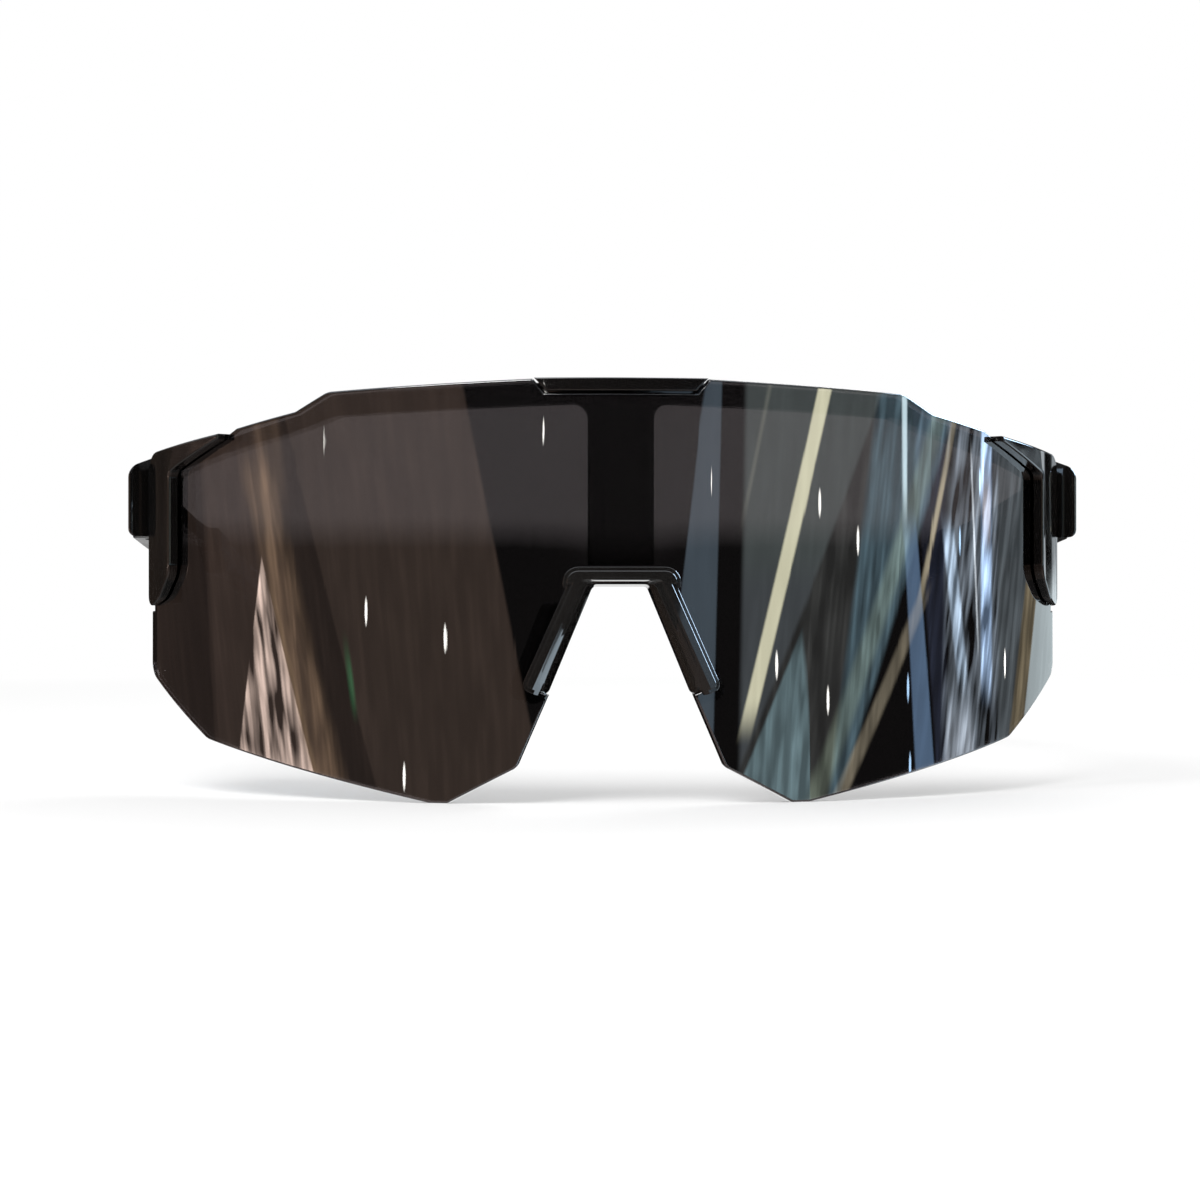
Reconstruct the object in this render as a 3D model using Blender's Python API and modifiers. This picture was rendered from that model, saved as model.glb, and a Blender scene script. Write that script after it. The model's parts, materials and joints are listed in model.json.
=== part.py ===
"""Cycling glasses: a wraparound one-piece lens in a half frame, with folding temples.

The glasses stand as worn. They look along -Y, +Z is up, and the wearer's left is at +X. The lens
stands on its two lower tips, at z = 0.

The lens, the frame, the nose bridge and the side clips are plates bent round one upright axis, the
axis of the lens. Their outlines are drawn on the flat: u runs along the lens's outer face from the
middle, and z runs up. Their depths run inwards from that outer face. A drop is measured down from
the lens's top, and a reach from the corner before. The temples are drawn open, with their origin on
the hinge's axis at the level of the end-piece's foot.
"""

import math

import bmesh
import bpy
from mathutils import Matrix, Vector

mm = 0.001

# Assembly
gap = 0.3 * mm
overrun = 2.0 * mm
bury = 0.2 * mm
weld = 0.003 * mm
bend_step = 4.0 * mm
bow_step = 9.0 * mm
arc_steps = 4
round_sides = 24
bevel_steps = 2
flat_angle = math.radians(0.1)
bevel_angle = math.radians(40.0)
smooth_angle = math.radians(30.0)

# Lens
lens_radius = 81.0 * mm
lens_thickness = 1.8 * mm
lens_height = 60.7 * mm
lens_half_arc = 86.0 * mm
lens_clip_recess = 0.9 * mm
crown_drop = 0.1 * mm
brow_half = 44.5 * mm
brow_drop = 1.3 * mm
brow_radius = 3.0 * mm
shoulder_reach = 5.8 * mm
shoulder_drop = 4.0 * mm
shoulder_radius = 2.0 * mm
lens_seat_top_reach = 11.9 * mm
lens_seat_top_drop = 6.0 * mm
lens_seat_reach = 5.3 * mm
lens_seat_drop = 8.6 * mm
lens_corner_drop = 10.6 * mm
lens_corner_radius = 2.5 * mm
cheek_height = 17.8 * mm
cheek_radius = 3.0 * mm
jaw_inset = 16.8 * mm
jaw_height = 8.2 * mm
jaw_radius = 4.0 * mm
tip_inner_half = 25.3 * mm
tip_width = 2.7 * mm
tip_radius = 0.8 * mm
nostril_half = 15.1 * mm
nostril_height = 5.2 * mm
nostril_radius = 1.6 * mm
nose_angle = math.radians(24.0)

# Hook of the frame, which fills a notch in the top of the lens
hook_top_half = 12.45 * mm
hook_bottom_half = 10.7 * mm
hook_height = 1.85 * mm
hook_proud = 0.5 * mm

# Frame behind the lens
frame_thickness = 3.0 * mm
frame_inset = 0.4 * mm
bar_height = 3.5 * mm
post_half = 4.85 * mm
window_corner_radius = 2.2 * mm
window_brow_inset = 0.3 * mm
window_shoulder_inset = 0.9 * mm
window_shoulder_drop = 6.3 * mm
window_bend_reach = 5.5 * mm
window_bend_drop = 7.5 * mm
window_end_drop = 12.7 * mm
side_arm_width = 3.1 * mm
side_arm_rise = 0.8 * mm
side_arm_radius = 1.0 * mm

# Side clips over the upper outer corners of the lens
clip_ridge_wall = 1.6 * mm
clip_roof_wall = 0.7 * mm
clip_rim_wall = 1.2 * mm
clip_chamfer = 1.4 * mm
clip_chamfer_depth = 0.1 * mm
clip_start_reach = 2.2 * mm
clip_corner_radius = 3.5 * mm
clip_foot_height = 27.7 * mm
clip_foot_radius = 1.5 * mm
clip_foot_width = 6.3 * mm
clip_foot_rise = 1.6 * mm
clip_width = 9.9 * mm
clip_bend_rise = 5.5 * mm
clip_top_width = 2.9 * mm
clip_start_width = 0.8 * mm
clip_ridge_radius = 1.5 * mm
clip_bend_radius = 4.0 * mm

# Nose bridge, a channel round the edge of the nose cut-out
bridge_front_wall = 1.4 * mm
bridge_web = 1.2 * mm
bridge_depth = 5.2 * mm
bridge_inset = 0.5 * mm
bridge_arm_width = 3.3 * mm
bridge_top_height = 33.8 * mm
bridge_top_wall = 2.2 * mm
bridge_shoulder_half = 8.3 * mm
bridge_shoulder_drop = 2.9 * mm
bridge_corner_radius = 0.7 * mm
bridge_shoulder_radius = 2.2 * mm
bridge_foot_height = 15.2 * mm
bridge_foot_radius = 1.1 * mm

# Rubber nose pads, pushed into slots in the back of the bridge
pad_top_drop = 6.2 * mm
pad_foot_reach = 1.6 * mm
pad_inset = 0.6 * mm
pad_width = 4.2 * mm
pad_depth = 5.0 * mm
pad_flare = 3.0 * mm
pad_end_radius = 1.6 * mm
pad_edge = 0.8 * mm
pad_rib_width = 1.2 * mm
pad_rib_depth = 1.9 * mm
pad_rib_margin = 2.5 * mm

# End-pieces of the frame, which carry the hinges: they stand round the outer end of the side arm
endpiece_overhang = 5.2 * mm
endpiece_width = 8.4 * mm
endpiece_back_reach = 3.6 * mm
endpiece_depth = 5.7 * mm
endpiece_foot_drop = 21.7 * mm
endpiece_foot_radius = 1.2 * mm
endpiece_inner_height = 14.2 * mm
endpiece_outer_height = 10.7 * mm
endpiece_top_radius = 2.2 * mm
endpiece_shield = 6.0 * mm

# Hinges: heights are above the end-piece's foot
hinge_setback = 3.6 * mm
knuckle_radius = 2.3 * mm
knuckle_foot = 3.6 * mm
knuckle_height = 4.0 * mm
screw_radius = 0.7 * mm
screw_head_radius = 1.3 * mm
screw_head_height = 0.8 * mm
screw_head_rise = 2.0 * mm
screw_slot_width = 0.4 * mm
screw_slot_depth = 0.4 * mm
nut_radius = 1.5 * mm
nut_height = 2.0 * mm
nut_foot = 0.4 * mm
nut_floor = 0.5 * mm

# Temples, drawn open: heights are above the end-piece's foot
temple_length = 131.5 * mm
temple_bow = 6.5 * mm
temple_outer = 3.4 * mm
root_inner = -2.6 * mm
root_length = 4.5 * mm
root_taper_end = 10.0 * mm
root_top = 10.6 * mm
root_radius = 1.5 * mm
blade_inner = 0.2 * mm
blade_end_inner = 0.7 * mm
blade_length = 35.0 * mm
blade_foot = -2.7 * mm
step_reach = 4.8 * mm
step_radius = 0.6 * mm
bar_thickness = 3.1 * mm
bar_start_top = 6.4 * mm
bar_mid_reach = 20.2 * mm
bar_mid_top = 4.3 * mm
bar_end_reach = 18.0 * mm
bar_end_top = 3.0 * mm
bar_inner = 1.0 * mm

# Core of the temple inside the ear sock: shares are of the sock's length
core_height = 2.2 * mm
core_start_top = 2.3 * mm
core_bend_share = 0.225
core_bend_top = -0.3 * mm
core_end_share = 0.766
core_end_top = -4.2 * mm
core_inner = 1.2 * mm
core_outer = 2.7 * mm

# Rubber ear socks: shares are of the sock's length
sock_start_top = 3.5 * mm
sock_start_foot = -0.8 * mm
sock_dip_share = 0.168
sock_dip_top = 2.5 * mm
sock_ear_share = 0.271
sock_ear_top = 0.8 * mm
sock_end_share = 0.916
sock_end_top = -4.1 * mm
sock_tip_radius = 2.3 * mm
sock_tip_foot = -9.9 * mm
sock_lobe_share = 0.150
sock_lobe_foot = -4.8 * mm
sock_neck_share = 0.505
sock_neck_foot = -6.0 * mm
sock_corner_radius = 2.0 * mm
sock_inner = -0.6 * mm
sock_outer = 4.2 * mm
sock_edge = 1.1 * mm

# Places that follow from the sizes above
lens_clip_half = lens_half_arc - lens_clip_recess
shoulder_half = brow_half + shoulder_reach
lens_seat_top_half = shoulder_half + lens_seat_top_reach
lens_seat_half = lens_seat_top_half + lens_seat_reach
lens_seat_slope = (lens_seat_drop - lens_seat_top_drop) / lens_seat_reach
frame_front = lens_thickness + gap
frame_back = frame_front + frame_thickness
clip_outer_half = lens_clip_half + gap + clip_rim_wall
clip_ridge_depth = -gap - clip_ridge_wall
clip_roof_depth = -gap - clip_roof_wall
clip_start_half = lens_seat_top_half + clip_start_reach
clip_start_height = lens_height - lens_seat_top_drop - clip_start_reach * lens_seat_slope + gap
clip_corner_height = lens_height - lens_corner_drop + gap + clip_rim_wall
side_arm_half = clip_outer_half - side_arm_width
side_arm_foot = clip_foot_height + side_arm_rise
side_arm_turn = clip_outer_half / lens_radius
side_arm_x = (lens_radius - frame_front) * math.sin(side_arm_turn)
side_arm_y = lens_radius - (lens_radius - frame_front) * math.cos(side_arm_turn)
bridge_front = -gap - bridge_front_wall
bridge_seat = bridge_inset + bridge_web + gap
bridge_shoulder_height = bridge_top_height - bridge_shoulder_drop
pad_top_height = bridge_top_height - pad_top_drop
pad_foot_height = bridge_foot_height - pad_foot_reach
bridge_cut_top = bridge_top_height - bridge_top_wall + bridge_web + gap
endpiece_outer = side_arm_x + endpiece_overhang
endpiece_inner = endpiece_outer - endpiece_width
endpiece_back = side_arm_y + endpiece_back_reach
endpiece_front = endpiece_back - endpiece_depth
endpiece_foot = lens_height - endpiece_foot_drop
knuckle_top = knuckle_foot + knuckle_height
hinge_x = endpiece_outer - temple_outer
hinge_y = endpiece_back + gap + hinge_setback
screw_head_top = knuckle_top + screw_head_rise
screw_foot = nut_foot + nut_floor
step_top_length = blade_length + step_reach
bar_mid_length = step_top_length + bar_mid_reach
bar_end_length = bar_mid_length + bar_end_reach
glasses_middle = (bridge_front + hinge_y + temple_length) / 2

gloss_black = ("gloss_black", (0.012, 0.012, 0.013), 0.12, 0.0)
satin_black = ("satin_black", (0.016, 0.016, 0.017), 0.32, 0.0)
smoke_lens = ("smoke_lens", (0.030, 0.026, 0.028), 0.04, 0.0)
soft_rubber = ("soft_rubber", (0.014, 0.014, 0.014), 0.62, 0.0)
screw_steel = ("screw_steel", (0.560, 0.560, 0.580), 0.28, 1.0)
insert_brass = ("insert_brass", (0.640, 0.450, 0.180), 0.30, 1.0)


def clear_scene():
    """Removes whatever the file holds."""
    for old in list(bpy.data.objects):
        bpy.data.objects.remove(old, do_unlink=True)


def new_collection(name):
    """A collection under the scene's own."""
    collection = bpy.data.collections.new(name)
    bpy.context.scene.collection.children.link(collection)
    return collection


def material(finish):
    """A Principled material from its name, colour, roughness and metallic value."""
    name, colour, roughness, metallic = finish
    made = bpy.data.materials.get(name)
    if made:
        return made
    made = bpy.data.materials.new(name)
    made.use_nodes = True
    shader = made.node_tree.nodes["Principled BSDF"]
    shader.inputs["Base Color"].default_value = (*colour, 1.0)
    shader.inputs["Roughness"].default_value = roughness
    shader.inputs["Metallic"].default_value = metallic
    return made


def rounded(corners):
    """The outline of corners (x, y, radius), with an arc at each corner that has a radius."""
    points = []
    for index, (x, y, radius) in enumerate(corners):
        here = Vector((x, y))
        if radius == 0:
            points.append(here)
            continue
        before = (Vector(corners[index - 1][:2]) - here).normalized()
        after = (Vector(corners[(index + 1) % len(corners)][:2]) - here).normalized()
        half_angle = before.angle(after) / 2
        centre = here + (before + after).normalized() * (radius / math.sin(half_angle))
        reach = radius / math.tan(half_angle)
        start = (here + before * reach - centre).normalized()
        end = (here + after * reach - centre).normalized()
        for step in range(arc_steps + 1):
            points.append(centre + start.slerp(end, step / arc_steps) * radius)
    return points


def both_halves(half):
    """The whole outline from its half at +u, which runs outwards and up from the bottom."""
    return half + [(-u, z, radius) for u, z, radius in reversed(half)]


def on_side(corners, side):
    """The corners as drawn at side 1, or their mirror image across u = 0 at side -1."""
    if side > 0:
        return corners
    return [(-u, z, radius) for u, z, radius in reversed(corners)]


def grown(points, distance):
    """The anticlockwise outline moved outwards by the distance, with mitred corners."""
    moved = []
    for index, here in enumerate(points):
        before = (here - points[index - 1]).normalized()
        after = (points[(index + 1) % len(points)] - here).normalized()
        normal = Vector((before.y, -before.x))
        mitre = (normal + Vector((after.y, -after.x))).normalized()
        moved.append(here + mitre * (distance / mitre.dot(normal)))
    return moved


def rectangle(low, high, side=1):
    """The anticlockwise outline of a rectangle, mirrored at side -1."""
    corners = [(low[0], low[1], 0), (high[0], low[1], 0), (high[0], high[1], 0), (low[0], high[1], 0)]
    return rounded(on_side(corners, side))


def circle(centre, radius):
    """The anticlockwise outline of a circle."""
    middle = Vector(centre)
    turns = [2 * math.pi * side / round_sides for side in range(round_sides)]
    return [middle + Vector((math.cos(turn), math.sin(turn))) * radius for turn in turns]


FACING = {
    "front": Matrix(((1, 0, 0, 0), (0, 0, -1, 0), (0, 1, 0, 0), (0, 0, 0, 1))),
    "side": Matrix(((0, 0, 1, 0), (1, 0, 0, 0), (0, 1, 0, 0), (0, 0, 0, 1))),
    "top": Matrix.Identity(4),
}
THICKNESS_AXIS = {"front": Vector((0, 1, 0)), "side": Vector((1, 0, 0)), "top": Vector((0, 0, 1))}


def plate(name, outline, near, far, facing, collection):
    """A flat outline between two distances along the axis that it faces, as a mesh."""
    curve = bpy.data.curves.new(name, "CURVE")
    curve.dimensions = "2D"
    curve.fill_mode = "BOTH"
    curve.extrude = (far - near) / 2
    spline = curve.splines.new("POLY")
    spline.points.add(len(outline) - 1)
    for point, place in zip(spline.points, outline):
        point.co = (place[0], place[1], 0, 1)
    spline.use_cyclic_u = True
    drawn = bpy.data.objects.new(name, curve)
    collection.objects.link(drawn)
    bpy.context.view_layer.update()
    mesh = bpy.data.meshes.new_from_object(drawn.evaluated_get(bpy.context.evaluated_depsgraph_get()))
    bpy.data.objects.remove(drawn, do_unlink=True)
    mesh.transform(Matrix.Translation(THICKNESS_AXIS[facing] * (near + far) / 2) @ FACING[facing])
    shape = bmesh.new()
    shape.from_mesh(mesh)
    bmesh.ops.remove_doubles(shape, verts=shape.verts, dist=weld)
    bmesh.ops.dissolve_limit(shape, angle_limit=flat_angle, verts=shape.verts, edges=shape.edges)
    bmesh.ops.recalc_face_normals(shape, faces=shape.faces)
    shape.to_mesh(mesh)
    shape.free()
    made = bpy.data.objects.new(name, mesh)
    collection.objects.link(made)
    return made


def sliced(obj, axis, places):
    """Cuts the faces of a mesh at places along one axis, so that it can bend there."""
    normal = Vector((0, 0, 0))
    normal[axis] = 1
    shape = bmesh.new()
    shape.from_mesh(obj.data)
    for place in places:
        everything = shape.verts[:] + shape.edges[:] + shape.faces[:]
        bmesh.ops.bisect_plane(shape, geom=everything, dist=weld, plane_co=normal * place, plane_no=normal)
    shape.to_mesh(obj.data)
    shape.free()
    return obj


def steps_along(obj, axis, step, shift=0):
    """The places a step apart that cover a mesh along one axis."""
    along = [vertex.co[axis] for vertex in obj.data.vertices]
    first = math.floor(min(along) / step)
    last = math.ceil(max(along) / step)
    return [index * step + shift for index in range(first, last + 1)]


def in_triangles(obj):
    """Splits faces that have been bent, because a Boolean needs flat ones."""
    shape = bmesh.new()
    shape.from_mesh(obj.data)
    bmesh.ops.triangulate(shape, faces=shape.faces)
    shape.to_mesh(obj.data)
    shape.free()
    return obj


def bent(obj, shift=0):
    """Wraps a flat plate round the lens's upright axis. Its depth runs towards the axis."""
    sliced(obj, 0, steps_along(obj, 0, bend_step, shift))
    for vertex in obj.data.vertices:
        u, depth, z = vertex.co
        turn = u / lens_radius
        radius = lens_radius - depth
        vertex.co = (radius * math.sin(turn), lens_radius - radius * math.cos(turn), z)
    return in_triangles(obj)


def bowed(obj):
    """Curves a straight temple inwards, more and more towards its tip."""
    sliced(obj, 1, steps_along(obj, 1, bow_step))
    for vertex in obj.data.vertices:
        share = max(vertex.co.y, 0) / temple_length
        vertex.co.x -= temple_bow * share ** 2
    return in_triangles(obj)


def bent_plate(name, outline, near, far, collection):
    """A plate of the lens's own curve, between two depths."""
    return bent(plate(name, outline, near, far, "front", collection))


def bent_tool(name, outline, near, far, tools):
    """A bent plate that cuts or joins another. Its strips lie half a step from the other's."""
    return bent(plate(name, outline, near, far, "front", tools), bend_step / 2)


def as_cutter(obj):
    """Shows a cutter or a joined shape as wire only."""
    obj.display_type = "WIRE"
    obj.hide_render = True
    return obj


def joined(target, other, operation):
    """Adds a Boolean modifier, and applies it by keeping the evaluated mesh."""
    as_cutter(other)
    modifier = target.modifiers.new(operation.lower(), "BOOLEAN")
    modifier.operation = operation
    modifier.object = other
    settle(target)
    return target


def settle(obj):
    """Replaces an object's mesh by the mesh that its modifiers make, with its points welded."""
    bpy.context.view_layer.update()
    mesh = bpy.data.meshes.new_from_object(obj.evaluated_get(bpy.context.evaluated_depsgraph_get()))
    obj.modifiers.clear()
    shape = bmesh.new()
    shape.from_mesh(mesh)
    bmesh.ops.remove_doubles(shape, verts=shape.verts, dist=weld)
    shape.to_mesh(mesh)
    shape.free()
    obj.data = mesh


def bevelled(obj, width):
    """Rounds the sharp edges of an object."""
    modifier = obj.modifiers.new("round", "BEVEL")
    modifier.width = width
    modifier.segments = bevel_steps
    modifier.limit_method = "ANGLE"
    modifier.angle_limit = bevel_angle
    settle(obj)
    return obj


def finished(obj, name, finish):
    """Names a piece, gives it its material and shades it."""
    obj.name = name
    obj.data.name = name
    obj.data.materials.clear()
    obj.data.materials.append(material(finish))
    obj.data.shade_smooth()
    obj.data.set_sharp_from_angle(angle=smooth_angle)
    return obj


def mirror_copy(obj, name, finish, collection):
    """The same piece for the other side, as an object and a mesh of its own."""
    mesh = obj.data.copy()
    mesh.transform(Matrix.Diagonal((-1, 1, 1, 1)))
    mesh.flip_normals()
    copy = bpy.data.objects.new(name, mesh)
    collection.objects.link(copy)
    return finished(copy, name, finish)


def turned(name, profile, collection):
    """A profile of (radius, z) points, listed down its outer side, turned round the z axis."""
    mesh = bpy.data.meshes.new(name)
    points = [(radius, 0, z) for radius, z in profile]
    edges = [(index, index + 1) for index in range(len(points) - 1)]
    mesh.from_pydata(points, edges, [])
    made = bpy.data.objects.new(name, mesh)
    collection.objects.link(made)
    screw = made.modifiers.new("turn", "SCREW")
    screw.steps = round_sides
    screw.render_steps = round_sides
    screw.use_merge_vertices = True
    screw.merge_threshold = weld
    settle(made)
    return made


def nose_line(z, offset):
    """u of the edge of the nose cut-out at height z, moved towards the lens by an offset."""
    return nostril_half - (z - nostril_height) * math.tan(nose_angle) + offset / math.cos(nose_angle)


def across_nose_line(z, offset, across):
    """The corner that lies square across the nose line from the one at height z and offset."""
    return (
        nose_line(z, offset) + across * math.cos(nose_angle),
        z + across * math.sin(nose_angle),
    )


def lens_outline():
    """The lens: nose cut-out with the bridge's seat, lower edge, side, and top with the notch."""
    seat_foot = bridge_foot_height + bridge_web
    step_u, step_z = across_nose_line(seat_foot, bridge_seat, -bridge_seat)
    half = [
        (nose_line(bridge_cut_top, bridge_seat), bridge_cut_top, 0),
        (nose_line(seat_foot, bridge_seat), seat_foot, 0),
        (step_u, step_z, 0),
        (nostril_half, nostril_height, nostril_radius),
        (tip_inner_half, 0, tip_radius),
        (tip_inner_half + tip_width, 0, tip_radius),
        (lens_half_arc - jaw_inset, jaw_height, jaw_radius),
        (lens_half_arc, cheek_height, cheek_radius),
        (lens_half_arc, clip_foot_height - gap, 0),
        (lens_clip_half, clip_foot_height - gap, 0),
        (lens_clip_half, lens_height - lens_corner_drop, lens_corner_radius),
        (lens_seat_half, lens_height - lens_seat_drop, 0),
        (lens_seat_top_half, lens_height - lens_seat_top_drop, 0),
        (shoulder_half, lens_height - shoulder_drop, shoulder_radius),
        (brow_half, lens_height - brow_drop, brow_radius),
        (hook_top_half + gap, lens_height - crown_drop, 0),
        (hook_bottom_half + gap, lens_height - hook_height - gap, 0),
    ]
    return rounded(both_halves(half))


def make_lens(collection):
    """The one-piece lens."""
    lens = bent_plate("lens", lens_outline(), 0, lens_thickness, collection)
    return finished(lens, "lens", smoke_lens)


def lens_clearance(collection):
    """The room that the lens needs in the pieces that grip it."""
    return bent_tool("lens_room", grown(lens_outline(), gap), -gap, lens_thickness + gap, collection)


def frame_outline():
    """The frame: centre post, brow bar and the two side arms behind the clips."""
    post_foot = bridge_top_height + gap
    window_brow_half = brow_half - window_brow_inset
    window_shoulder_half = shoulder_half - window_shoulder_inset
    window_bend_half = window_shoulder_half + window_bend_reach
    half = [
        (post_half, post_foot, 0),
        (post_half, lens_height - bar_height, window_corner_radius),
        (window_brow_half, lens_height - brow_drop - bar_height, window_corner_radius),
        (window_shoulder_half, lens_height - window_shoulder_drop, window_corner_radius),
        (window_bend_half, lens_height - window_bend_drop, 0),
        (side_arm_half, lens_height - window_end_drop, side_arm_radius),
        (side_arm_half, side_arm_foot, side_arm_radius),
        (clip_outer_half, side_arm_foot, clip_foot_radius),
        (clip_outer_half, clip_corner_height - frame_inset, clip_corner_radius),
        (clip_start_half, clip_start_height - frame_inset, 0),
        (shoulder_half, lens_height - shoulder_drop - frame_inset, 0),
        (brow_half, lens_height - brow_drop - frame_inset, brow_radius),
        (hook_top_half, lens_height - crown_drop - frame_inset, 0),
    ]
    return rounded(both_halves(half))


def hook_outline():
    """The lip of the frame that fills the notch in the lens's top edge."""
    half = [
        (hook_bottom_half, lens_height - hook_height, 0),
        (hook_top_half, lens_height, 0),
    ]
    return rounded(both_halves(half))


def endpiece(side, tools):
    """The block at one end of the frame, cut back where the clip and the lens are."""
    inner_top = endpiece_foot + endpiece_inner_height
    corners = [
        (endpiece_inner, endpiece_foot, 0),
        (endpiece_outer, endpiece_foot, endpiece_foot_radius),
        (endpiece_outer, endpiece_foot + endpiece_outer_height, endpiece_top_radius),
        (endpiece_inner, inner_top, 0),
    ]
    outline = rounded(on_side(corners, side))
    block = plate("endpiece", outline, endpiece_front, endpiece_back, "front", tools)
    shield_low = (side_arm_half, endpiece_foot - overrun)
    shield_high = (clip_outer_half + gap, inner_top + overrun)
    shield = rectangle(shield_low, shield_high, side)
    cutter = bent_tool("endpiece_shield", shield, -endpiece_shield, frame_front + bury, tools)
    return joined(block, cutter, "DIFFERENCE")


def knuckle(side, tools):
    """The frame's half of a hinge: a tongue with a round end on the hinge's axis."""
    axis = (side * hinge_x, hinge_y)
    foot = endpiece_foot + knuckle_foot
    top = endpiece_foot + knuckle_top
    barrel = plate("barrel", circle(axis, knuckle_radius), foot, top, "top", tools)
    low = (axis[0] - knuckle_radius, endpiece_back - overrun)
    high = (axis[0] + knuckle_radius, hinge_y)
    neck = plate("neck", rectangle(low, high), foot, top, "top", tools)
    tongue = joined(barrel, neck, "UNION")
    hole = plate("pin_hole", circle(axis, screw_radius + gap), foot - overrun, top + overrun, "top", tools)
    return joined(tongue, hole, "DIFFERENCE")


def make_frame(collection, tools):
    """The half frame with its hook, end-pieces and hinge tongues, in one piece."""
    frame = bent_plate("frame", frame_outline(), frame_front, frame_back, collection)
    hook = bent_tool("hook", hook_outline(), -hook_proud, frame_front + bury, tools)
    joined(frame, hook, "UNION")
    for side in (1, -1):
        joined(frame, endpiece(side, tools), "UNION")
        joined(frame, knuckle(side, tools), "UNION")
    return finished(frame, "frame", gloss_black)


def clip_ridge_edge():
    """The inner edge of a side clip, where its ridge runs: from the top edge down to the foot."""
    inner_half = clip_outer_half - clip_width
    return [
        (clip_start_half, clip_start_height - clip_start_width, 0),
        (inner_half, clip_corner_height - clip_top_width, clip_ridge_radius),
        (inner_half, clip_foot_height + clip_bend_rise, clip_bend_radius),
        (clip_outer_half - clip_foot_width, clip_foot_height + clip_foot_rise, clip_bend_radius),
    ]


def clip_rim_edge(chamfer):
    """The outer edge of a side clip, from the foot up to its start, drawn in by a chamfer."""
    return [
        (clip_outer_half - chamfer, clip_foot_height, clip_foot_radius),
        (clip_outer_half - chamfer, clip_corner_height, clip_corner_radius),
        (clip_start_half, clip_start_height, 0),
    ]


def shape_clip_front(clip):
    """Slopes the front of a flat clip from its ridge out to a chamfer along its rim."""
    edge = rounded(clip_ridge_edge() + clip_rim_edge(0))
    chamfered = rounded(clip_ridge_edge() + clip_rim_edge(clip_chamfer))
    sliced(clip, 1, [clip_chamfer_depth])
    for vertex in clip.data.vertices:
        if vertex.co.y > clip_ridge_depth + weld:
            continue
        here = Vector((vertex.co.x, vertex.co.z))
        nearest = min(range(len(edge)), key=lambda index: (edge[index] - here).length)
        share = 1 - (clip_outer_half - edge[nearest].x) / clip_width
        depth = clip_ridge_depth + max(share, 0) * (clip_roof_depth - clip_ridge_depth)
        vertex.co = (chamfered[nearest].x, depth, chamfered[nearest].y)


def make_side_clips(collection, tools):
    """The two glossy clips that hold the lens's upper outer corners to the frame."""
    outline = rounded(clip_ridge_edge() + clip_rim_edge(0))
    clip = plate("side_clip_left", outline, clip_ridge_depth, lens_thickness, "front", collection)
    shape_clip_front(clip)
    bent(in_triangles(clip))
    joined(clip, lens_clearance(tools), "DIFFERENCE")
    finished(clip, "side_clip_left", gloss_black)
    mirror_copy(clip, "side_clip_right", gloss_black, collection)


def bridge_outline():
    """The nose bridge: an arch with two straight arms along the nose cut-out."""
    arm_outer = bridge_inset + bridge_arm_width
    foot_u, foot_z = across_nose_line(bridge_foot_height, bridge_inset, bridge_arm_width)
    inner_top = bridge_top_height - bridge_top_wall
    half = [
        (nose_line(inner_top, bridge_inset), inner_top, bridge_corner_radius),
        (nose_line(bridge_foot_height, bridge_inset), bridge_foot_height, bridge_foot_radius),
        (foot_u, foot_z, bridge_foot_radius),
        (nose_line(bridge_shoulder_height, arm_outer), bridge_shoulder_height, 0),
        (bridge_shoulder_half, bridge_shoulder_height, 0),
        (bridge_shoulder_half, bridge_top_height, bridge_shoulder_radius),
    ]
    return rounded(both_halves(half))


def pad_rib_outline(side):
    """The rib of a nose pad, which fills the slot in the bridge's arm on one side."""
    middle = bridge_inset + bridge_arm_width / 2
    low = pad_foot_height + pad_rib_margin
    high = pad_top_height - pad_rib_margin
    near = middle - pad_rib_width / 2
    low_u, low_z = across_nose_line(low, near, pad_rib_width)
    high_u, high_z = across_nose_line(high, near, pad_rib_width)
    corners = [
        (nose_line(low, near), low, 0),
        (low_u, low_z, 0),
        (high_u, high_z, 0),
        (nose_line(high, near), high, 0),
    ]
    return rounded(on_side(corners, side))


def make_nose_bridge(collection, tools):
    """The hard arch that grips the lens round the nose cut-out."""
    bridge = bent_plate("nose_bridge", bridge_outline(), bridge_front, bridge_depth, collection)
    joined(bridge, lens_clearance(tools), "DIFFERENCE")
    slot_floor = bridge_depth - pad_rib_depth
    for side in (1, -1):
        slot = grown(pad_rib_outline(side), gap)
        cutter = bent_tool("pad_slot", slot, slot_floor, bridge_depth + overrun, tools)
        joined(bridge, cutter, "DIFFERENCE")
    return finished(bridge, "nose_bridge", gloss_black)


def pad_outline():
    """The body of a nose pad, seen from the front."""
    low_u, low_z = across_nose_line(pad_foot_height, pad_inset, pad_width)
    high_u, high_z = across_nose_line(pad_top_height, pad_inset, pad_width)
    return rounded([
        (nose_line(pad_foot_height, pad_inset), pad_foot_height, pad_end_radius),
        (low_u, low_z, pad_end_radius),
        (high_u, high_z, pad_end_radius),
        (nose_line(pad_top_height, pad_inset), pad_top_height, pad_end_radius),
    ])


def make_nose_pads(collection, tools):
    """The two soft pads, each flaring back and outwards, with its rib in the bridge."""
    pad_front = bridge_depth + gap
    pad_back = pad_front + pad_depth
    pad = plate("nose_pad_left", pad_outline(), pad_front, pad_back, "front", collection)
    for vertex in pad.data.vertices:
        vertex.co.x += pad_flare * (vertex.co.y - pad_front) / pad_depth
    bevelled(pad, pad_edge)
    bent(pad)
    rib_front = bridge_depth - pad_rib_depth + gap
    rib = bent_tool("pad_rib", pad_rib_outline(1), rib_front, pad_front + pad_depth / 2, tools)
    joined(pad, rib, "UNION")
    finished(pad, "nose_pad_left", soft_rubber)
    mirror_copy(pad, "nose_pad_right", soft_rubber, collection)


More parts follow.
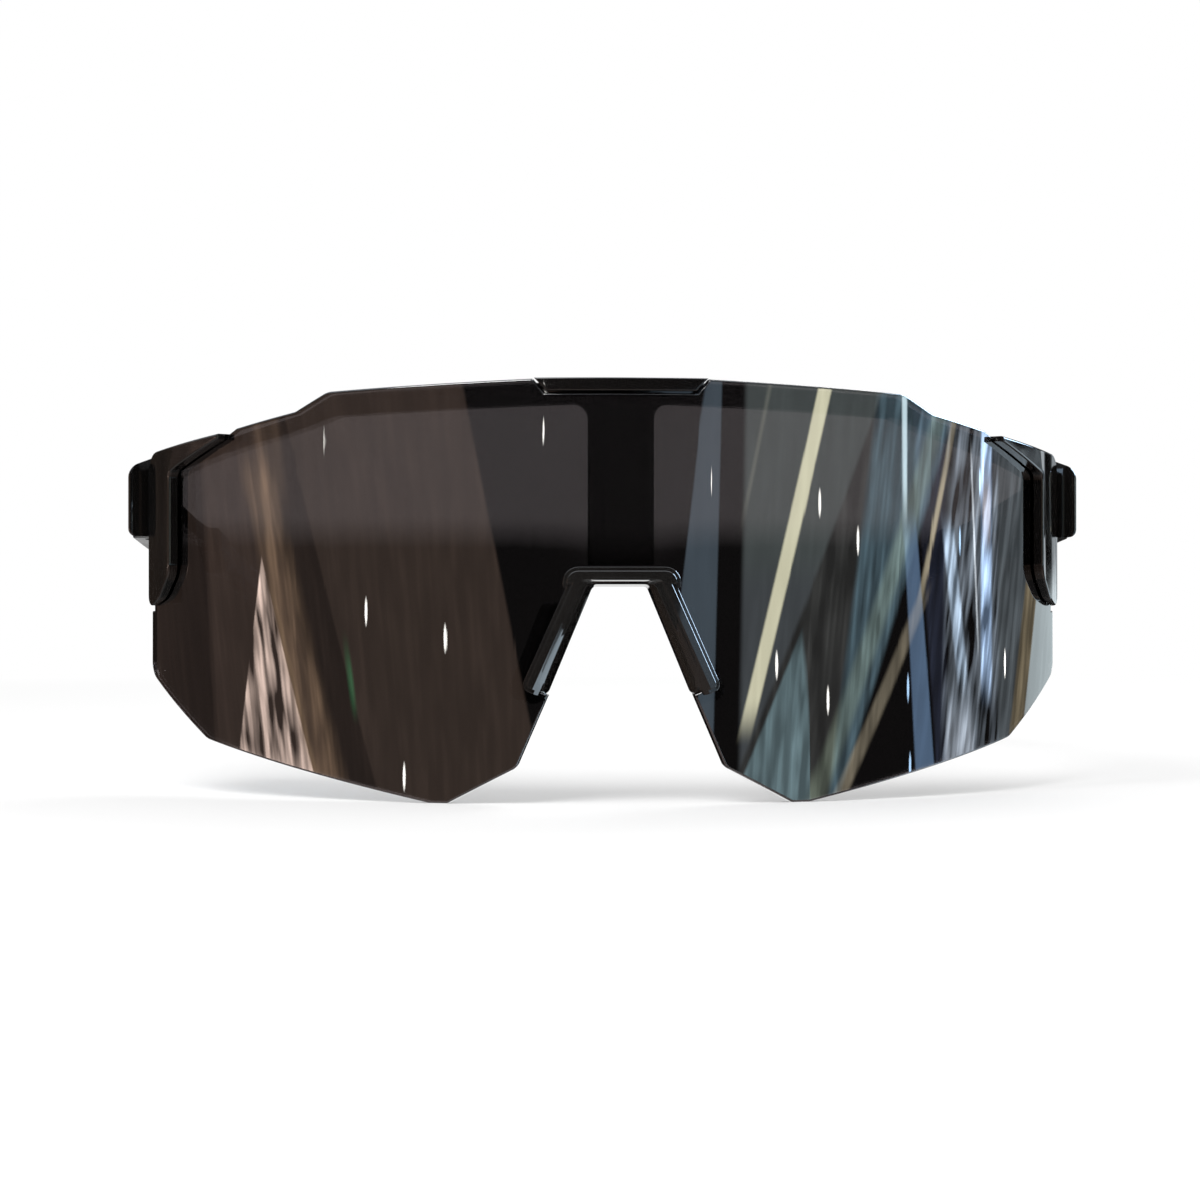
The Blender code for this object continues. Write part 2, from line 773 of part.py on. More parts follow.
def along_sock(share):
    """The place along the temple at a share of the ear sock's length."""
    return bar_end_length + share * (temple_length - bar_end_length)


def core_outline():
    """The thin core that carries the ear sock, seen from the side."""
    start = bar_end_length - overrun
    bend = along_sock(core_bend_share)
    end = along_sock(core_end_share)
    return [
        (start, core_start_top - core_height),
        (bend, core_bend_top - core_height),
        (end, core_end_top - core_height),
        (end, core_end_top),
        (bend, core_bend_top),
        (start, core_start_top),
    ]


def temple_side_outline():
    """The temple seen from the side: deep root, step up, and slim bar down to the ear sock."""
    return rounded([
        (-hinge_setback, 0, root_radius),
        (blade_length, blade_foot, step_radius),
        (step_top_length, bar_start_top - bar_thickness, step_radius),
        (bar_mid_length, bar_mid_top - bar_thickness, 0),
        (bar_end_length, bar_end_top - bar_thickness, 0),
        (bar_end_length, bar_end_top, 0),
        (bar_mid_length, bar_mid_top, 0),
        (step_top_length, bar_start_top, 0),
        (-hinge_setback, root_top, root_radius),
    ])


def temple_plan_outline():
    """The temple seen from above: round at the hinge's inner side, and slimmer towards the bar."""
    points = [
        Vector((temple_outer, -hinge_setback)),
        Vector((temple_outer, bar_end_length + overrun)),
        Vector((bar_inner, bar_end_length + overrun)),
        Vector((blade_end_inner, blade_length)),
        Vector((blade_inner, root_taper_end)),
        Vector((root_inner, root_length)),
    ]
    last_turn = math.asin(-root_inner / hinge_setback)
    for step in range(arc_steps + 1):
        turn = last_turn * (1 - step / arc_steps)
        points.append(Vector((-hinge_setback * math.sin(turn), -hinge_setback * math.cos(turn))))
    return points


def make_temple(collection, tools):
    """The hard part of the left temple, from the fork of its hinge to the core in the sock."""
    inner = root_inner - overrun
    outer = temple_outer + overrun
    low = blade_foot - overrun
    high = root_top + overrun
    temple = plate("temple_left", temple_side_outline(), inner, outer, "side", collection)
    plan = plate("temple_plan", temple_plan_outline(), low, high, "top", tools)
    joined(temple, plan, "INTERSECT")
    core = plate("temple_core", core_outline(), core_inner, core_outer, "side", tools)
    joined(temple, core, "UNION")
    reach = knuckle_radius + gap
    fork_room = rectangle((inner, -hinge_setback - overrun), (reach, reach))
    fork = plate("fork_slot", fork_room, knuckle_foot - gap, knuckle_top + gap, "top", tools)
    pin = plate("pin_bore", circle((0, 0), screw_radius + gap), low, high, "top", tools)
    head_floor = screw_head_top - screw_head_height - gap
    head = plate("head_bore", circle((0, 0), screw_head_radius + gap), head_floor, high, "top", tools)
    nut_ceiling = nut_foot + nut_height + gap
    nut = plate("nut_bore", circle((0, 0), nut_radius + gap), low, nut_ceiling, "top", tools)
    for cutter in (fork, pin, head, nut):
        joined(temple, cutter, "DIFFERENCE")
    bowed(temple)
    return finished(temple, "temple_left", satin_black)


def sock_outline():
    """The ear sock seen from the side, with its dip over the ear and its round tip."""
    return rounded([
        (bar_end_length + gap, sock_start_foot, 0),
        (along_sock(sock_lobe_share), sock_lobe_foot, sock_corner_radius),
        (along_sock(sock_neck_share), sock_neck_foot, 0),
        (temple_length, sock_tip_foot, sock_tip_radius),
        (temple_length, sock_end_top - sock_tip_radius / 2, sock_tip_radius),
        (along_sock(sock_end_share), sock_end_top, 0),
        (along_sock(sock_ear_share), sock_ear_top, sock_corner_radius),
        (along_sock(sock_dip_share), sock_dip_top, sock_corner_radius),
        (bar_end_length + gap, sock_start_top, 0),
    ])


def make_ear_sock(collection, tools):
    """The rubber sleeve over the end of the left temple."""
    sock = plate("ear_sock_left", sock_outline(), sock_inner, sock_outer, "side", collection)
    bevelled(sock, sock_edge)
    pocket_outline = grown([Vector(corner) for corner in core_outline()], gap)
    pocket = plate("sock_pocket", pocket_outline, core_inner - gap, core_outer + gap, "side", tools)
    joined(sock, pocket, "DIFFERENCE")
    bowed(sock)
    return finished(sock, "ear_sock_left", soft_rubber)


def make_hinge_screw(collection, tools):
    """The slotted steel screw that is the hinge's pin."""
    head_foot = screw_head_top - screw_head_height
    profile = [
        (0, screw_head_top),
        (screw_head_radius, screw_head_top),
        (screw_head_radius, head_foot),
        (screw_radius, head_foot),
        (screw_radius, screw_foot),
        (0, screw_foot),
    ]
    screw = turned("hinge_screw_left", profile, collection)
    slot_low = (-screw_head_radius - overrun, -screw_slot_width / 2)
    slot_high = (screw_head_radius + overrun, screw_slot_width / 2)
    slot_floor = screw_head_top - screw_slot_depth
    slot_top = screw_head_top + overrun
    slot = plate("driver_slot", rectangle(slot_low, slot_high), slot_floor, slot_top, "top", tools)
    joined(screw, slot, "DIFFERENCE")
    return finished(screw, "hinge_screw_left", screw_steel)


def make_hinge_nut(collection):
    """The round brass insert that the screw's thread ends in."""
    profile = [
        (screw_radius + gap, nut_foot + nut_height),
        (nut_radius, nut_foot + nut_height),
        (nut_radius, nut_foot),
        (screw_radius + gap, nut_foot),
        (screw_radius + gap, nut_foot + nut_height),
    ]
    nut = turned("hinge_nut_left", profile, collection)
    return finished(nut, "hinge_nut_left", insert_brass)


def hinge_axis(side, name, collection, root):
    """An empty on the hinge's axis, level with the end-piece's foot, which carries a temple."""
    axis = bpy.data.objects.new(name, None)
    axis.location = (side * hinge_x, hinge_y, endpiece_foot)
    axis.parent = root
    collection.objects.link(axis)
    return axis


def hang_pair(piece, other_name, finish, axes, collection):
    """Hangs a left piece on its hinge's empty, and its mirror image on the other one."""
    other = mirror_copy(piece, other_name, finish, collection)
    for hung, axis in zip((piece, other), axes):
        hung.parent = axis


def main():
    """Builds the glasses and hangs the pieces on their empties."""
    clear_scene()
    glasses = new_collection("cycling_glasses")
    tools = new_collection("cutters")
    root = bpy.data.objects.new("glasses_origin", None)
    root.location = (0, -glasses_middle, 0)
    glasses.objects.link(root)

    make_lens(glasses)
    make_frame(glasses, tools)
    make_side_clips(glasses, tools)
    make_nose_bridge(glasses, tools)
    make_nose_pads(glasses, tools)
    for piece in list(glasses.objects):
        if piece is not root:
            piece.parent = root

    left_axis = hinge_axis(1, "temple_left_axis", glasses, root)
    right_axis = hinge_axis(-1, "temple_right_axis", glasses, root)
    axes = (left_axis, right_axis)
    hang_pair(make_temple(glasses, tools), "temple_right", satin_black, axes, glasses)
    hang_pair(make_ear_sock(glasses, tools), "ear_sock_right", soft_rubber, axes, glasses)
    hang_pair(make_hinge_screw(glasses, tools), "hinge_screw_right", screw_steel, axes, glasses)
    hang_pair(make_hinge_nut(glasses), "hinge_nut_right", insert_brass, axes, glasses)


main()
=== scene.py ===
"""Dresses the cycling glasses: moulded black shells, a smoked mirror lens and rubber ends.

Lengths are in metres, in the frame's own axes: +X is the wearer's left, +Y runs back from the lens to
the ear socks, and +Z is up. The lens, frame, clips, bridge and pads are drawn flat and then bent round
the lens's upright axis: u runs along the lens's outer face and depth runs inwards from it. A temple is
drawn with its length along X, and is bowed and then turned to its place behind the hinge.
"""

import json
import math

import bmesh
import bpy
from bpy.props import FloatProperty, FloatVectorProperty, PointerProperty
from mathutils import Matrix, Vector


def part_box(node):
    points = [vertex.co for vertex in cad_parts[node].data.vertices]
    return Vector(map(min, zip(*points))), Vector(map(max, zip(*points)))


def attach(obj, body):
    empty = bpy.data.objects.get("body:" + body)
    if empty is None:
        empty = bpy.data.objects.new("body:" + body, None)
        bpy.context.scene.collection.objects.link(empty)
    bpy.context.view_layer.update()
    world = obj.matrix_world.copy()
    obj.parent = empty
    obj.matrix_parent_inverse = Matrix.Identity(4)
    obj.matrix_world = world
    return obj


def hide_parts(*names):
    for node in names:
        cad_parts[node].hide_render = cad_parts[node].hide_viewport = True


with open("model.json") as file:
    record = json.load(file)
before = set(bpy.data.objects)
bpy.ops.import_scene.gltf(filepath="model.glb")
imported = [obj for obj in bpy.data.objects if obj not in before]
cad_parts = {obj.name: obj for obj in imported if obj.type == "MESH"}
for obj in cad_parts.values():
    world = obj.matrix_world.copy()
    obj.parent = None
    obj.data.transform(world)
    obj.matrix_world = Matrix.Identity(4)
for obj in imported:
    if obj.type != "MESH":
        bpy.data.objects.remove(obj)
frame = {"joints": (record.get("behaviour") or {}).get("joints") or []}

bl_info = {
    "name": "Cycling Glasses",
    "version": (1, 0, 0),
    "blender": (4, 5, 0),
    "location": "View3D > Sidebar > Glasses",
    "description": "Models and dresses wraparound cycling glasses around their packed frame",
    "category": "Object",
}

mm = 0.001

# Places that the frame gives
hinges = {joint["child"]: Vector(joint["pos_m"]) for joint in frame["joints"]}
frame_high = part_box("frame")[1]
front_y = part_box("lens")[0].y
lens_height = frame_high.z
bridge_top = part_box("nose_bridge")[1].z
end_x = frame_high.x

# Modelling
gap = 0.3 * mm
overrun = 2.0 * mm
bury = 0.2 * mm
weld = 0.004 * mm
bend_step = 1.0 * mm
bow_step = 4.0 * mm
corner_steps = 6
edge_steps = 3
smooth_angle = math.radians(38.0)
slope_angle = math.radians(21.0)

# Lens
lens_radius = 81.0 * mm
lens_thickness = 1.8 * mm
lens_half_arc = 86.0 * mm
lens_clip_recess = 0.9 * mm
crown_drop = 0.1 * mm
brow_half = 44.5 * mm
brow_drop = 1.3 * mm
brow_radius = 3.0 * mm
shoulder_reach = 5.8 * mm
shoulder_drop = 4.0 * mm
shoulder_radius = 2.0 * mm
seat_top_reach = 11.9 * mm
seat_top_drop = 6.0 * mm
seat_reach = 5.3 * mm
seat_drop = 8.6 * mm
lens_corner_drop = 10.6 * mm
lens_corner_radius = 2.5 * mm
cheek_height = 17.8 * mm
cheek_radius = 3.0 * mm
jaw_inset = 16.8 * mm
jaw_height = 8.2 * mm
jaw_radius = 4.0 * mm
tip_inner_half = 25.3 * mm
tip_width = 2.7 * mm
tip_radius = 0.8 * mm
nostril_half = 15.1 * mm
nostril_height = 5.2 * mm
nostril_radius = 1.6 * mm
nose_angle = math.radians(24.0)

# Frame
hook_top_half = 12.45 * mm
hook_bottom_half = 10.7 * mm
hook_height = 1.85 * mm
hook_proud = 0.5 * mm
frame_thickness = 3.0 * mm
frame_inset = 0.4 * mm
bar_height = 3.5 * mm
post_half = 4.85 * mm
window_corner_radius = 2.2 * mm
window_brow_inset = 0.3 * mm
window_shoulder_inset = 0.9 * mm
window_shoulder_drop = 6.3 * mm
window_bend_reach = 5.5 * mm
window_bend_drop = 7.5 * mm
window_end_drop = 12.7 * mm
side_arm_width = 3.1 * mm
side_arm_rise = 0.8 * mm
side_arm_radius = 1.0 * mm

# Side clips
clip_ridge_wall = 1.6 * mm
clip_roof_wall = 0.7 * mm
clip_rim_wall = 1.2 * mm
clip_chamfer = 1.4 * mm
clip_start_reach = 2.2 * mm
clip_corner_radius = 3.5 * mm
clip_foot_height = 27.7 * mm
clip_foot_radius = 1.5 * mm
clip_foot_width = 6.3 * mm
clip_foot_rise = 1.6 * mm
clip_width = 9.9 * mm
clip_bend_rise = 5.5 * mm
clip_top_width = 2.9 * mm
clip_start_width = 0.8 * mm
clip_ridge_radius = 1.5 * mm
clip_bend_radius = 4.0 * mm

# Nose bridge and pads
bridge_front_wall = 1.4 * mm
bridge_web = 1.2 * mm
bridge_depth = 5.2 * mm
bridge_inset = 0.5 * mm
bridge_arm_width = 3.3 * mm
bridge_top_wall = 2.2 * mm
bridge_shoulder_half = 8.3 * mm
bridge_shoulder_drop = 2.9 * mm
bridge_corner_radius = 0.7 * mm
bridge_shoulder_radius = 2.2 * mm
bridge_foot_height = 15.2 * mm
bridge_foot_radius = 1.1 * mm
bridge_chamfer = 0.28 * mm
bridge_lip = 0.6 * mm
bridge_lip_drop = 0.45 * mm
bridge_slope = 1.7 * mm
bridge_slope_mid = 0.8 * mm
bridge_slope_mid_depth = 1.15 * mm
bridge_slope_depth = 3.3 * mm
bridge_brow_share = 0.25
bridge_sag = 0.6 * mm
pad_top_drop = 6.2 * mm
pad_foot_reach = 1.6 * mm
pad_inset = 0.6 * mm
pad_width = 4.2 * mm
pad_depth = 5.0 * mm
pad_flare = 3.0 * mm
pad_end_radius = 1.6 * mm
pad_edge = 0.8 * mm
pad_rib_width = 1.2 * mm
pad_rib_depth = 1.9 * mm
pad_rib_margin = 2.5 * mm

# End-pieces and hinges: heights are above the end-piece's foot
endpiece_width = 8.4 * mm
endpiece_depth = 5.7 * mm
endpiece_foot_radius = 1.2 * mm
endpiece_inner_height = 14.2 * mm
endpiece_outer_height = 10.7 * mm
endpiece_top_radius = 2.2 * mm
endpiece_shield = 6.0 * mm
hinge_setback = 3.6 * mm
knuckle_radius = 2.3 * mm
knuckle_foot = 3.6 * mm
knuckle_height = 4.0 * mm
screw_radius = 0.7 * mm
screw_head_radius = 1.3 * mm
screw_head_height = 0.8 * mm
screw_head_rise = 2.0 * mm
screw_slot_width = 0.4 * mm
screw_slot_depth = 0.4 * mm
screw_edge = 0.15 * mm
nut_radius = 1.5 * mm
nut_height = 2.0 * mm
nut_foot = 0.4 * mm
nut_floor = 0.5 * mm
nut_edge = 0.12 * mm
knurl_depth = 0.07 * mm
knurl_steps = 48

# Temples: lengths run back from the hinge's axis, heights are above the end-piece's foot
temple_length = 131.5 * mm
temple_bow = 6.5 * mm
temple_outer = 3.4 * mm
root_inner = -2.6 * mm
root_length = 4.5 * mm
root_taper_end = 10.0 * mm
root_top = 10.6 * mm
root_radius = 1.5 * mm
blade_inner = 0.2 * mm
blade_end_inner = 0.7 * mm
blade_length = 35.0 * mm
blade_foot = -2.7 * mm
step_reach = 4.8 * mm
step_radius = 0.6 * mm
bar_thickness = 3.1 * mm
bar_start_top = 6.4 * mm
bar_mid_reach = 20.2 * mm
bar_mid_top = 4.3 * mm
bar_end_reach = 18.0 * mm
bar_end_top = 3.0 * mm
bar_inner = 1.0 * mm
core_height = 2.2 * mm
core_start_top = 2.3 * mm
core_bend_share = 0.225
core_bend_top = -0.3 * mm
core_end_share = 0.766
core_end_top = -4.2 * mm
core_inner = 1.2 * mm
core_outer = 2.7 * mm

# Ear socks: shares are of the sock's length
sock_start_top = 3.5 * mm
sock_start_foot = -0.8 * mm
sock_dip_share = 0.168
sock_dip_top = 2.5 * mm
sock_ear_share = 0.271
sock_ear_top = 0.8 * mm
sock_end_share = 0.916
sock_end_top = -4.1 * mm
sock_tip_radius = 2.3 * mm
sock_tip_foot = -9.9 * mm
sock_lobe_share = 0.150
sock_lobe_foot = -4.8 * mm
sock_neck_share = 0.505
sock_neck_foot = -6.0 * mm
sock_corner_radius = 2.0 * mm
sock_inner = -0.6 * mm
sock_outer = 4.2 * mm
sock_edge = 1.1 * mm

# Finishes: how far apart the features of each pattern are, and how high each grain is
gloss_patches = 14.0 * mm
gloss_smudges = 5.0 * mm
gloss_peel = 0.9 * mm
gloss_peel_height = 0.006 * mm
satin_patches = 20.0 * mm
satin_rubbing = 8.0 * mm
satin_grain = 0.35 * mm
satin_grain_height = 0.010 * mm
lens_patches = 30.0 * mm
lens_smudges = 9.0 * mm
rubber_patches = 6.0 * mm
rubber_rubbing = 4.0 * mm
rubber_grain = 0.30 * mm
lathe_rings = 2.0 * mm
lathe_wobble = 0.6
lathe_ring_height = 0.010 * mm

# Stage
camera_target = Vector((-0.8, -45.2, 29.1)) * mm
sensor_width = 36.0
key_place = Vector((-300.0, -450.0, 600.0)) * mm
key_width = 450.0 * mm
rim_place = Vector((250.0, 450.0, 500.0)) * mm
rim_width = 350.0 * mm
floor_radius = 2500.0 * mm
floor_sides = 96

# Places that follow from the sizes above
lens_clip_half = lens_half_arc - lens_clip_recess
shoulder_half = brow_half + shoulder_reach
seat_top_half = shoulder_half + seat_top_reach
seat_half = seat_top_half + seat_reach
frame_front = lens_thickness + gap
frame_back = frame_front + frame_thickness
clip_outer_half = lens_clip_half + gap + clip_rim_wall
clip_ridge_depth = -gap - clip_ridge_wall
clip_roof_depth = -gap - clip_roof_wall
clip_start_half = seat_top_half + clip_start_reach
clip_start_height = (
    lens_height - seat_top_drop - clip_start_reach * (seat_drop - seat_top_drop) / seat_reach + gap
)
clip_corner_height = lens_height - lens_corner_drop + gap + clip_rim_wall
side_arm_half = clip_outer_half - side_arm_width
side_arm_foot = clip_foot_height + side_arm_rise
bridge_front = -gap - bridge_front_wall
bridge_seat = bridge_inset + bridge_web + gap
bridge_inner_top = bridge_top - bridge_top_wall
bridge_shoulder_height = bridge_top - bridge_shoulder_drop
bridge_cut_top = bridge_inner_top + bridge_web + gap
pad_top_height = bridge_top - pad_top_drop
pad_foot_height = bridge_foot_height - pad_foot_reach
knuckle_top = knuckle_foot + knuckle_height
screw_head_top = knuckle_top + screw_head_rise
screw_foot = nut_foot + nut_floor
step_top_length = blade_length + step_reach
bar_mid_length = step_top_length + bar_mid_reach
bar_end_length = bar_mid_length + bar_end_reach
bow_radius = temple_length ** 2 / (2 * temple_bow)
hinge_left = hinges["temple_left"]
level = hinge_left.z - knuckle_foot - knuckle_height / 2
endpiece_back = hinge_left.y - hinge_setback - gap


def size(name, description, default):
    """A length that a user can change."""
    return FloatProperty(name=name, description=description, default=default, precision=5, unit="LENGTH")


def share(name, description, default):
    """A factor from 0 to 1 that a user can change."""
    return FloatProperty(
        name=name, description=description, default=default, min=0.0, max=1.0, precision=3, subtype="FACTOR"
    )


def colour(name, description, default):
    """A colour that a user can change."""
    return FloatVectorProperty(
        name=name, description=description, default=default, size=3, min=0.0, max=1.0, subtype="COLOR"
    )


class LensSettings(bpy.types.PropertyGroup):
    """Finish of the lens."""

    edge: size("Edge", "Rounding of the lens's cut edge", 0.30 * mm)
    tint: colour("Tint", "Colour of light that passes straight through", (0.048, 0.043, 0.044))
    refraction: FloatProperty(name="Refraction", description="Index of the moulded lens", default=1.58)
    mirror: FloatProperty(name="Mirror", description="Index of the mirror coat", default=1.95)
    smudge: share("Smudge", "Roughness of the wiped areas", 0.025)


class ShellSettings(bpy.types.PropertyGroup):
    """Finish of the moulded black parts."""

    edge: size("Edge", "Rounding of the shells' edges", 0.35 * mm)
    gloss_colour: colour("Gloss Colour", "Black of the frame and clips", (0.0045, 0.0040, 0.0038))
    bridge_colour: colour("Bridge Colour", "Black of the nose bridge", (0.0100, 0.0092, 0.0086))
    gloss_roughness: share("Gloss Roughness", "Roughness of the glossy parts", 0.09)
    satin_colour: colour("Satin Colour", "Black of the temples", (0.0130, 0.0118, 0.0112))
    satin_roughness: share("Satin Roughness", "Roughness of the temples", 0.27)


class RubberSettings(bpy.types.PropertyGroup):
    """Finish of the pads and the ear socks."""

    rubber_colour: colour("Rubber Colour", "Black of the soft parts", (0.0140, 0.0136, 0.0134))
    roughness: share("Roughness", "Roughness of the soft parts", 0.58)
    grain: size("Grain", "Height of the rubber's fine grain", 0.020 * mm)


class MetalSettings(bpy.types.PropertyGroup):
    """Finish of the hinge screws and their inserts."""

    steel: colour("Steel", "Colour of the screws", (0.56, 0.56, 0.58))
    brass: colour("Brass", "Colour of the inserts", (0.64, 0.45, 0.18))
    roughness: share("Roughness", "Roughness of the turned metal", 0.26)


class StageSettings(bpy.types.PropertyGroup):
    """Camera, floor and light."""

    distance: size("Distance", "Camera distance from the glasses", 445.0 * mm)
    azimuth: FloatProperty(
        name="Azimuth", description="Turn of the camera about the glasses", default=math.radians(-2.9),
        unit="ROTATION",
    )
    focal_length: FloatProperty(name="Focal Length", description="Focal length in millimetres", default=84.5)
    floor_colour: colour("Floor Colour", "Pale floor", (0.80, 0.80, 0.80))
    ambient: FloatProperty(name="Ambient", description="Soft light from all round", default=0.75)
    key_power: FloatProperty(name="Key Power", description="Power of the soft key lamp in watts", default=4.0)
    rim_power: FloatProperty(name="Rim Power", description="Power of the lamp behind in watts", default=1.6)


def deselect():
    """Leaves edit mode and deselects every object."""
    if bpy.context.mode != "OBJECT":
        bpy.ops.object.mode_set(mode="OBJECT")
    bpy.ops.object.select_all(action="DESELECT")


def take(obj):
    """Makes one object the only selected one and the active one."""
    deselect()
    obj.select_set(True)
    bpy.context.view_layer.objects.active = obj
    return obj


def pick(obj, kind, test):
    """Selects in edit mode the verts, edges or faces that pass a test."""
    if bpy.context.mode == "OBJECT":
        take(obj)
        bpy.ops.object.mode_set(mode="EDIT")
    bpy.ops.mesh.select_mode(type={"verts": "VERT", "edges": "EDGE", "faces": "FACE"}[kind])
    bpy.ops.mesh.select_all(action="DESELECT")
    shape = bmesh.from_edit_mesh(obj.data)
    for item in getattr(shape, kind):
        if test(item):
            item.select_set(True)
    shape.select_flush_mode()
    bmesh.update_edit_mesh(obj.data)


def near(place, other):
    """Whether two places are the same, within the welding distance."""
    return (place - other).length < weld


def laid(corner, facing, start):
    """The place of an outline's corner: facing front it lies in XZ, and facing top in XY."""
    if facing == "front":
        return Vector((corner[0], start, corner[1]))
    return Vector((corner[0], corner[1], start))


def round_corners(obj, corners, facing, start):
    """Bevels each corner of a flat outline that has a radius."""
    for index, (across, up, radius) in enumerate(corners):
        if radius == 0:
            continue
        here = Vector((across, up))
        before = Vector(corners[index - 1][:2]) - here
        after = Vector(corners[(index + 1) % len(corners)][:2]) - here
        reach = radius / math.tan(before.angle(after) / 2)
        place = laid((across, up), facing, start)
        pick(obj, "verts", lambda vertex: near(vertex.co, place))
        bpy.ops.mesh.bevel(offset=reach, segments=corner_steps, profile=0.5, affect="VERTICES")


def plate(name, corners, start, end, facing="front"):
    """Draws an outline corner by corner, fills it, rounds its corners and extrudes it."""
    first = laid(corners[0], facing, start)
    deselect()
    bpy.ops.mesh.primitive_plane_add(size=1.0 * mm, location=first)
    obj = bpy.context.object
    obj.name = name
    bpy.ops.object.transform_apply(location=True, rotation=True, scale=True)
    bpy.ops.object.mode_set(mode="EDIT")
    bpy.ops.mesh.select_mode(type="VERT")
    bpy.ops.mesh.select_all(action="SELECT")
    bpy.ops.mesh.merge(type="CENTER")
    here = first
    for corner in corners[1:]:
        there = laid(corner, facing, start)
        bpy.ops.mesh.extrude_region_move(TRANSFORM_OT_translate={"value": there - here})
        here = there
    pick(obj, "verts", lambda vertex: near(vertex.co, first) or near(vertex.co, here))
    bpy.ops.mesh.edge_face_add()
    bpy.ops.mesh.select_all(action="SELECT")
    bpy.ops.mesh.edge_face_add()
    round_corners(obj, corners, facing, start)
    bpy.ops.mesh.select_all(action="SELECT")
    depth = (0, end - start, 0) if facing == "front" else (0, 0, end - start)
    bpy.ops.mesh.extrude_region_move(TRANSFORM_OT_translate={"value": depth})
    bpy.ops.mesh.select_all(action="SELECT")
    bpy.ops.mesh.normals_make_consistent(inside=False)
    bpy.ops.object.mode_set(mode="OBJECT")
    return obj


def points_at(obj, depth):
    """A plate's points at one depth, in the order in which they were made."""
    return [vertex for vertex in obj.data.vertices if abs(vertex.co.y - depth) < weld]


def guided(obj, outline, start, end, depth):
    """Pairs a plate's points at one depth with their places on another outline with as many corners."""
    guide = plate("guide", outline, start, end)
    targets = [point.co.copy() for point in points_at(guide, depth)]
    bpy.data.objects.remove(guide, do_unlink=True)
    return list(zip(points_at(obj, depth), targets))


def tapered(name, first, last, start, end):
    """A plate whose outline changes from a first one to a last one with as many corners."""
    obj = plate(name, first, start, end)
    for point, target in guided(obj, last, start, end, end):
        point.co = target
    return obj


def soften(obj, test, width, steps=edge_steps):
    """Rounds the edges that pass a test."""
    pick(obj, "edges", test)
    bpy.ops.mesh.bevel(offset=width, segments=steps, profile=0.5, affect="EDGES")
    bpy.ops.object.mode_set(mode="OBJECT")
    return obj


def soften_rims(obj, places, width, steps=edge_steps, axis=1):
    """Rounds the edges that run round a plate at some places along its thickness."""
    def on_rim(edge):
        ends = [vertex.co[axis] for vertex in edge.verts]
        return any(max(abs(end - place) for end in ends) < weld for place in places)

    return soften(obj, on_rim, width, steps)


def soften_corners(obj, width, steps=edge_steps, least=smooth_angle):
    """Rounds, or with one step chamfers, the edges of an object that turn by more than a least angle."""
    modifier = obj.modifiers.new("round", "BEVEL")
    modifier.width = width
    modifier.segments = steps
    modifier.limit_method = "ANGLE"
    modifier.angle_limit = least
    return applied(obj)


def applied(obj):
    """Applies every modifier of an object, as by hand."""
    take(obj)
    for modifier in list(obj.modifiers):
        bpy.ops.object.modifier_apply(modifier=modifier.name)
    return obj


def sliced(obj, step):
    """Cuts an object's faces a step apart along X, so that it can bend there."""
    along = [vertex.co.x for vertex in obj.data.vertices]
    first = math.floor(min(along) / step) + 1
    last = math.ceil(max(along) / step)
    take(obj)
    bpy.ops.object.mode_set(mode="EDIT")
    bpy.ops.mesh.select_mode(type="VERT")
    for index in range(first, last):
        bpy.ops.mesh.select_all(action="SELECT")
        bpy.ops.mesh.bisect(plane_co=(index * step, 0, 0), plane_no=(1, 0, 0), threshold=weld)
    bpy.ops.object.mode_set(mode="OBJECT")
    return obj


def bent(obj, radius, step):
    """Slices a flat object and bends it round an upright axis at +Y, a radius behind its origin."""
    sliced(obj, step)
    along = [vertex.co.x for vertex in obj.data.vertices]
    modifier = obj.modifiers.new("bend", "SIMPLE_DEFORM")
    modifier.deform_method = "BEND"
    modifier.deform_axis = "Z"
    modifier.angle = (max(along) - min(along)) / radius
    return applied(obj)


def joined(target, other, operation):
    """Unites two objects, or cuts one by the other, and removes the other."""
    modifier = target.modifiers.new("join", "BOOLEAN")
    modifier.operation = operation
    modifier.object = other
    modifier.solver = "EXACT"
    applied(target)
    bpy.data.objects.remove(other, do_unlink=True)
    return welded(target)


def welded(obj):
    """Merges the points that a Boolean leaves on each other."""
    take(obj)
    bpy.ops.object.mode_set(mode="EDIT")
    bpy.ops.mesh.select_all(action="SELECT")
    bpy.ops.mesh.remove_doubles(threshold=weld)
    bpy.ops.object.mode_set(mode="OBJECT")
    return obj


def placed(obj, location, turn=0.0):
    """Turns an object about Z, moves it and writes both into its mesh."""
    take(obj)
    obj.rotation_euler = (0, 0, turn)
    obj.location = location
    bpy.ops.object.transform_apply(location=True, rotation=True, scale=True)
    return obj


def mirrored(obj, name):
    """A mirror image of an object across the middle of the glasses, with its own mesh."""
    take(obj)
    bpy.ops.object.duplicate()
    copy = bpy.context.object
    copy.name = name
    copy.scale = (-1, 1, 1)
    bpy.ops.object.transform_apply(location=True, rotation=True, scale=True)
    bpy.ops.object.mode_set(mode="EDIT")
    bpy.ops.mesh.select_all(action="SELECT")
    bpy.ops.mesh.normals_make_consistent(inside=False)
    bpy.ops.object.mode_set(mode="OBJECT")
    return copy


def finished(obj, name, body, node, material):
    """Shades a piece, gives it its material and hands it over to its body."""
    obj.name = name
    obj.data.name = name
    take(obj)
    bpy.ops.object.shade_smooth_by_angle(angle=smooth_angle)
    modifier = obj.modifiers.new("even", "WEIGHTED_NORMAL")
    modifier.keep_sharp = True
    applied(obj)
    obj.data.materials.clear()
    obj.data.materials.append(material)
    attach(obj, body)
    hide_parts(node)
    return obj


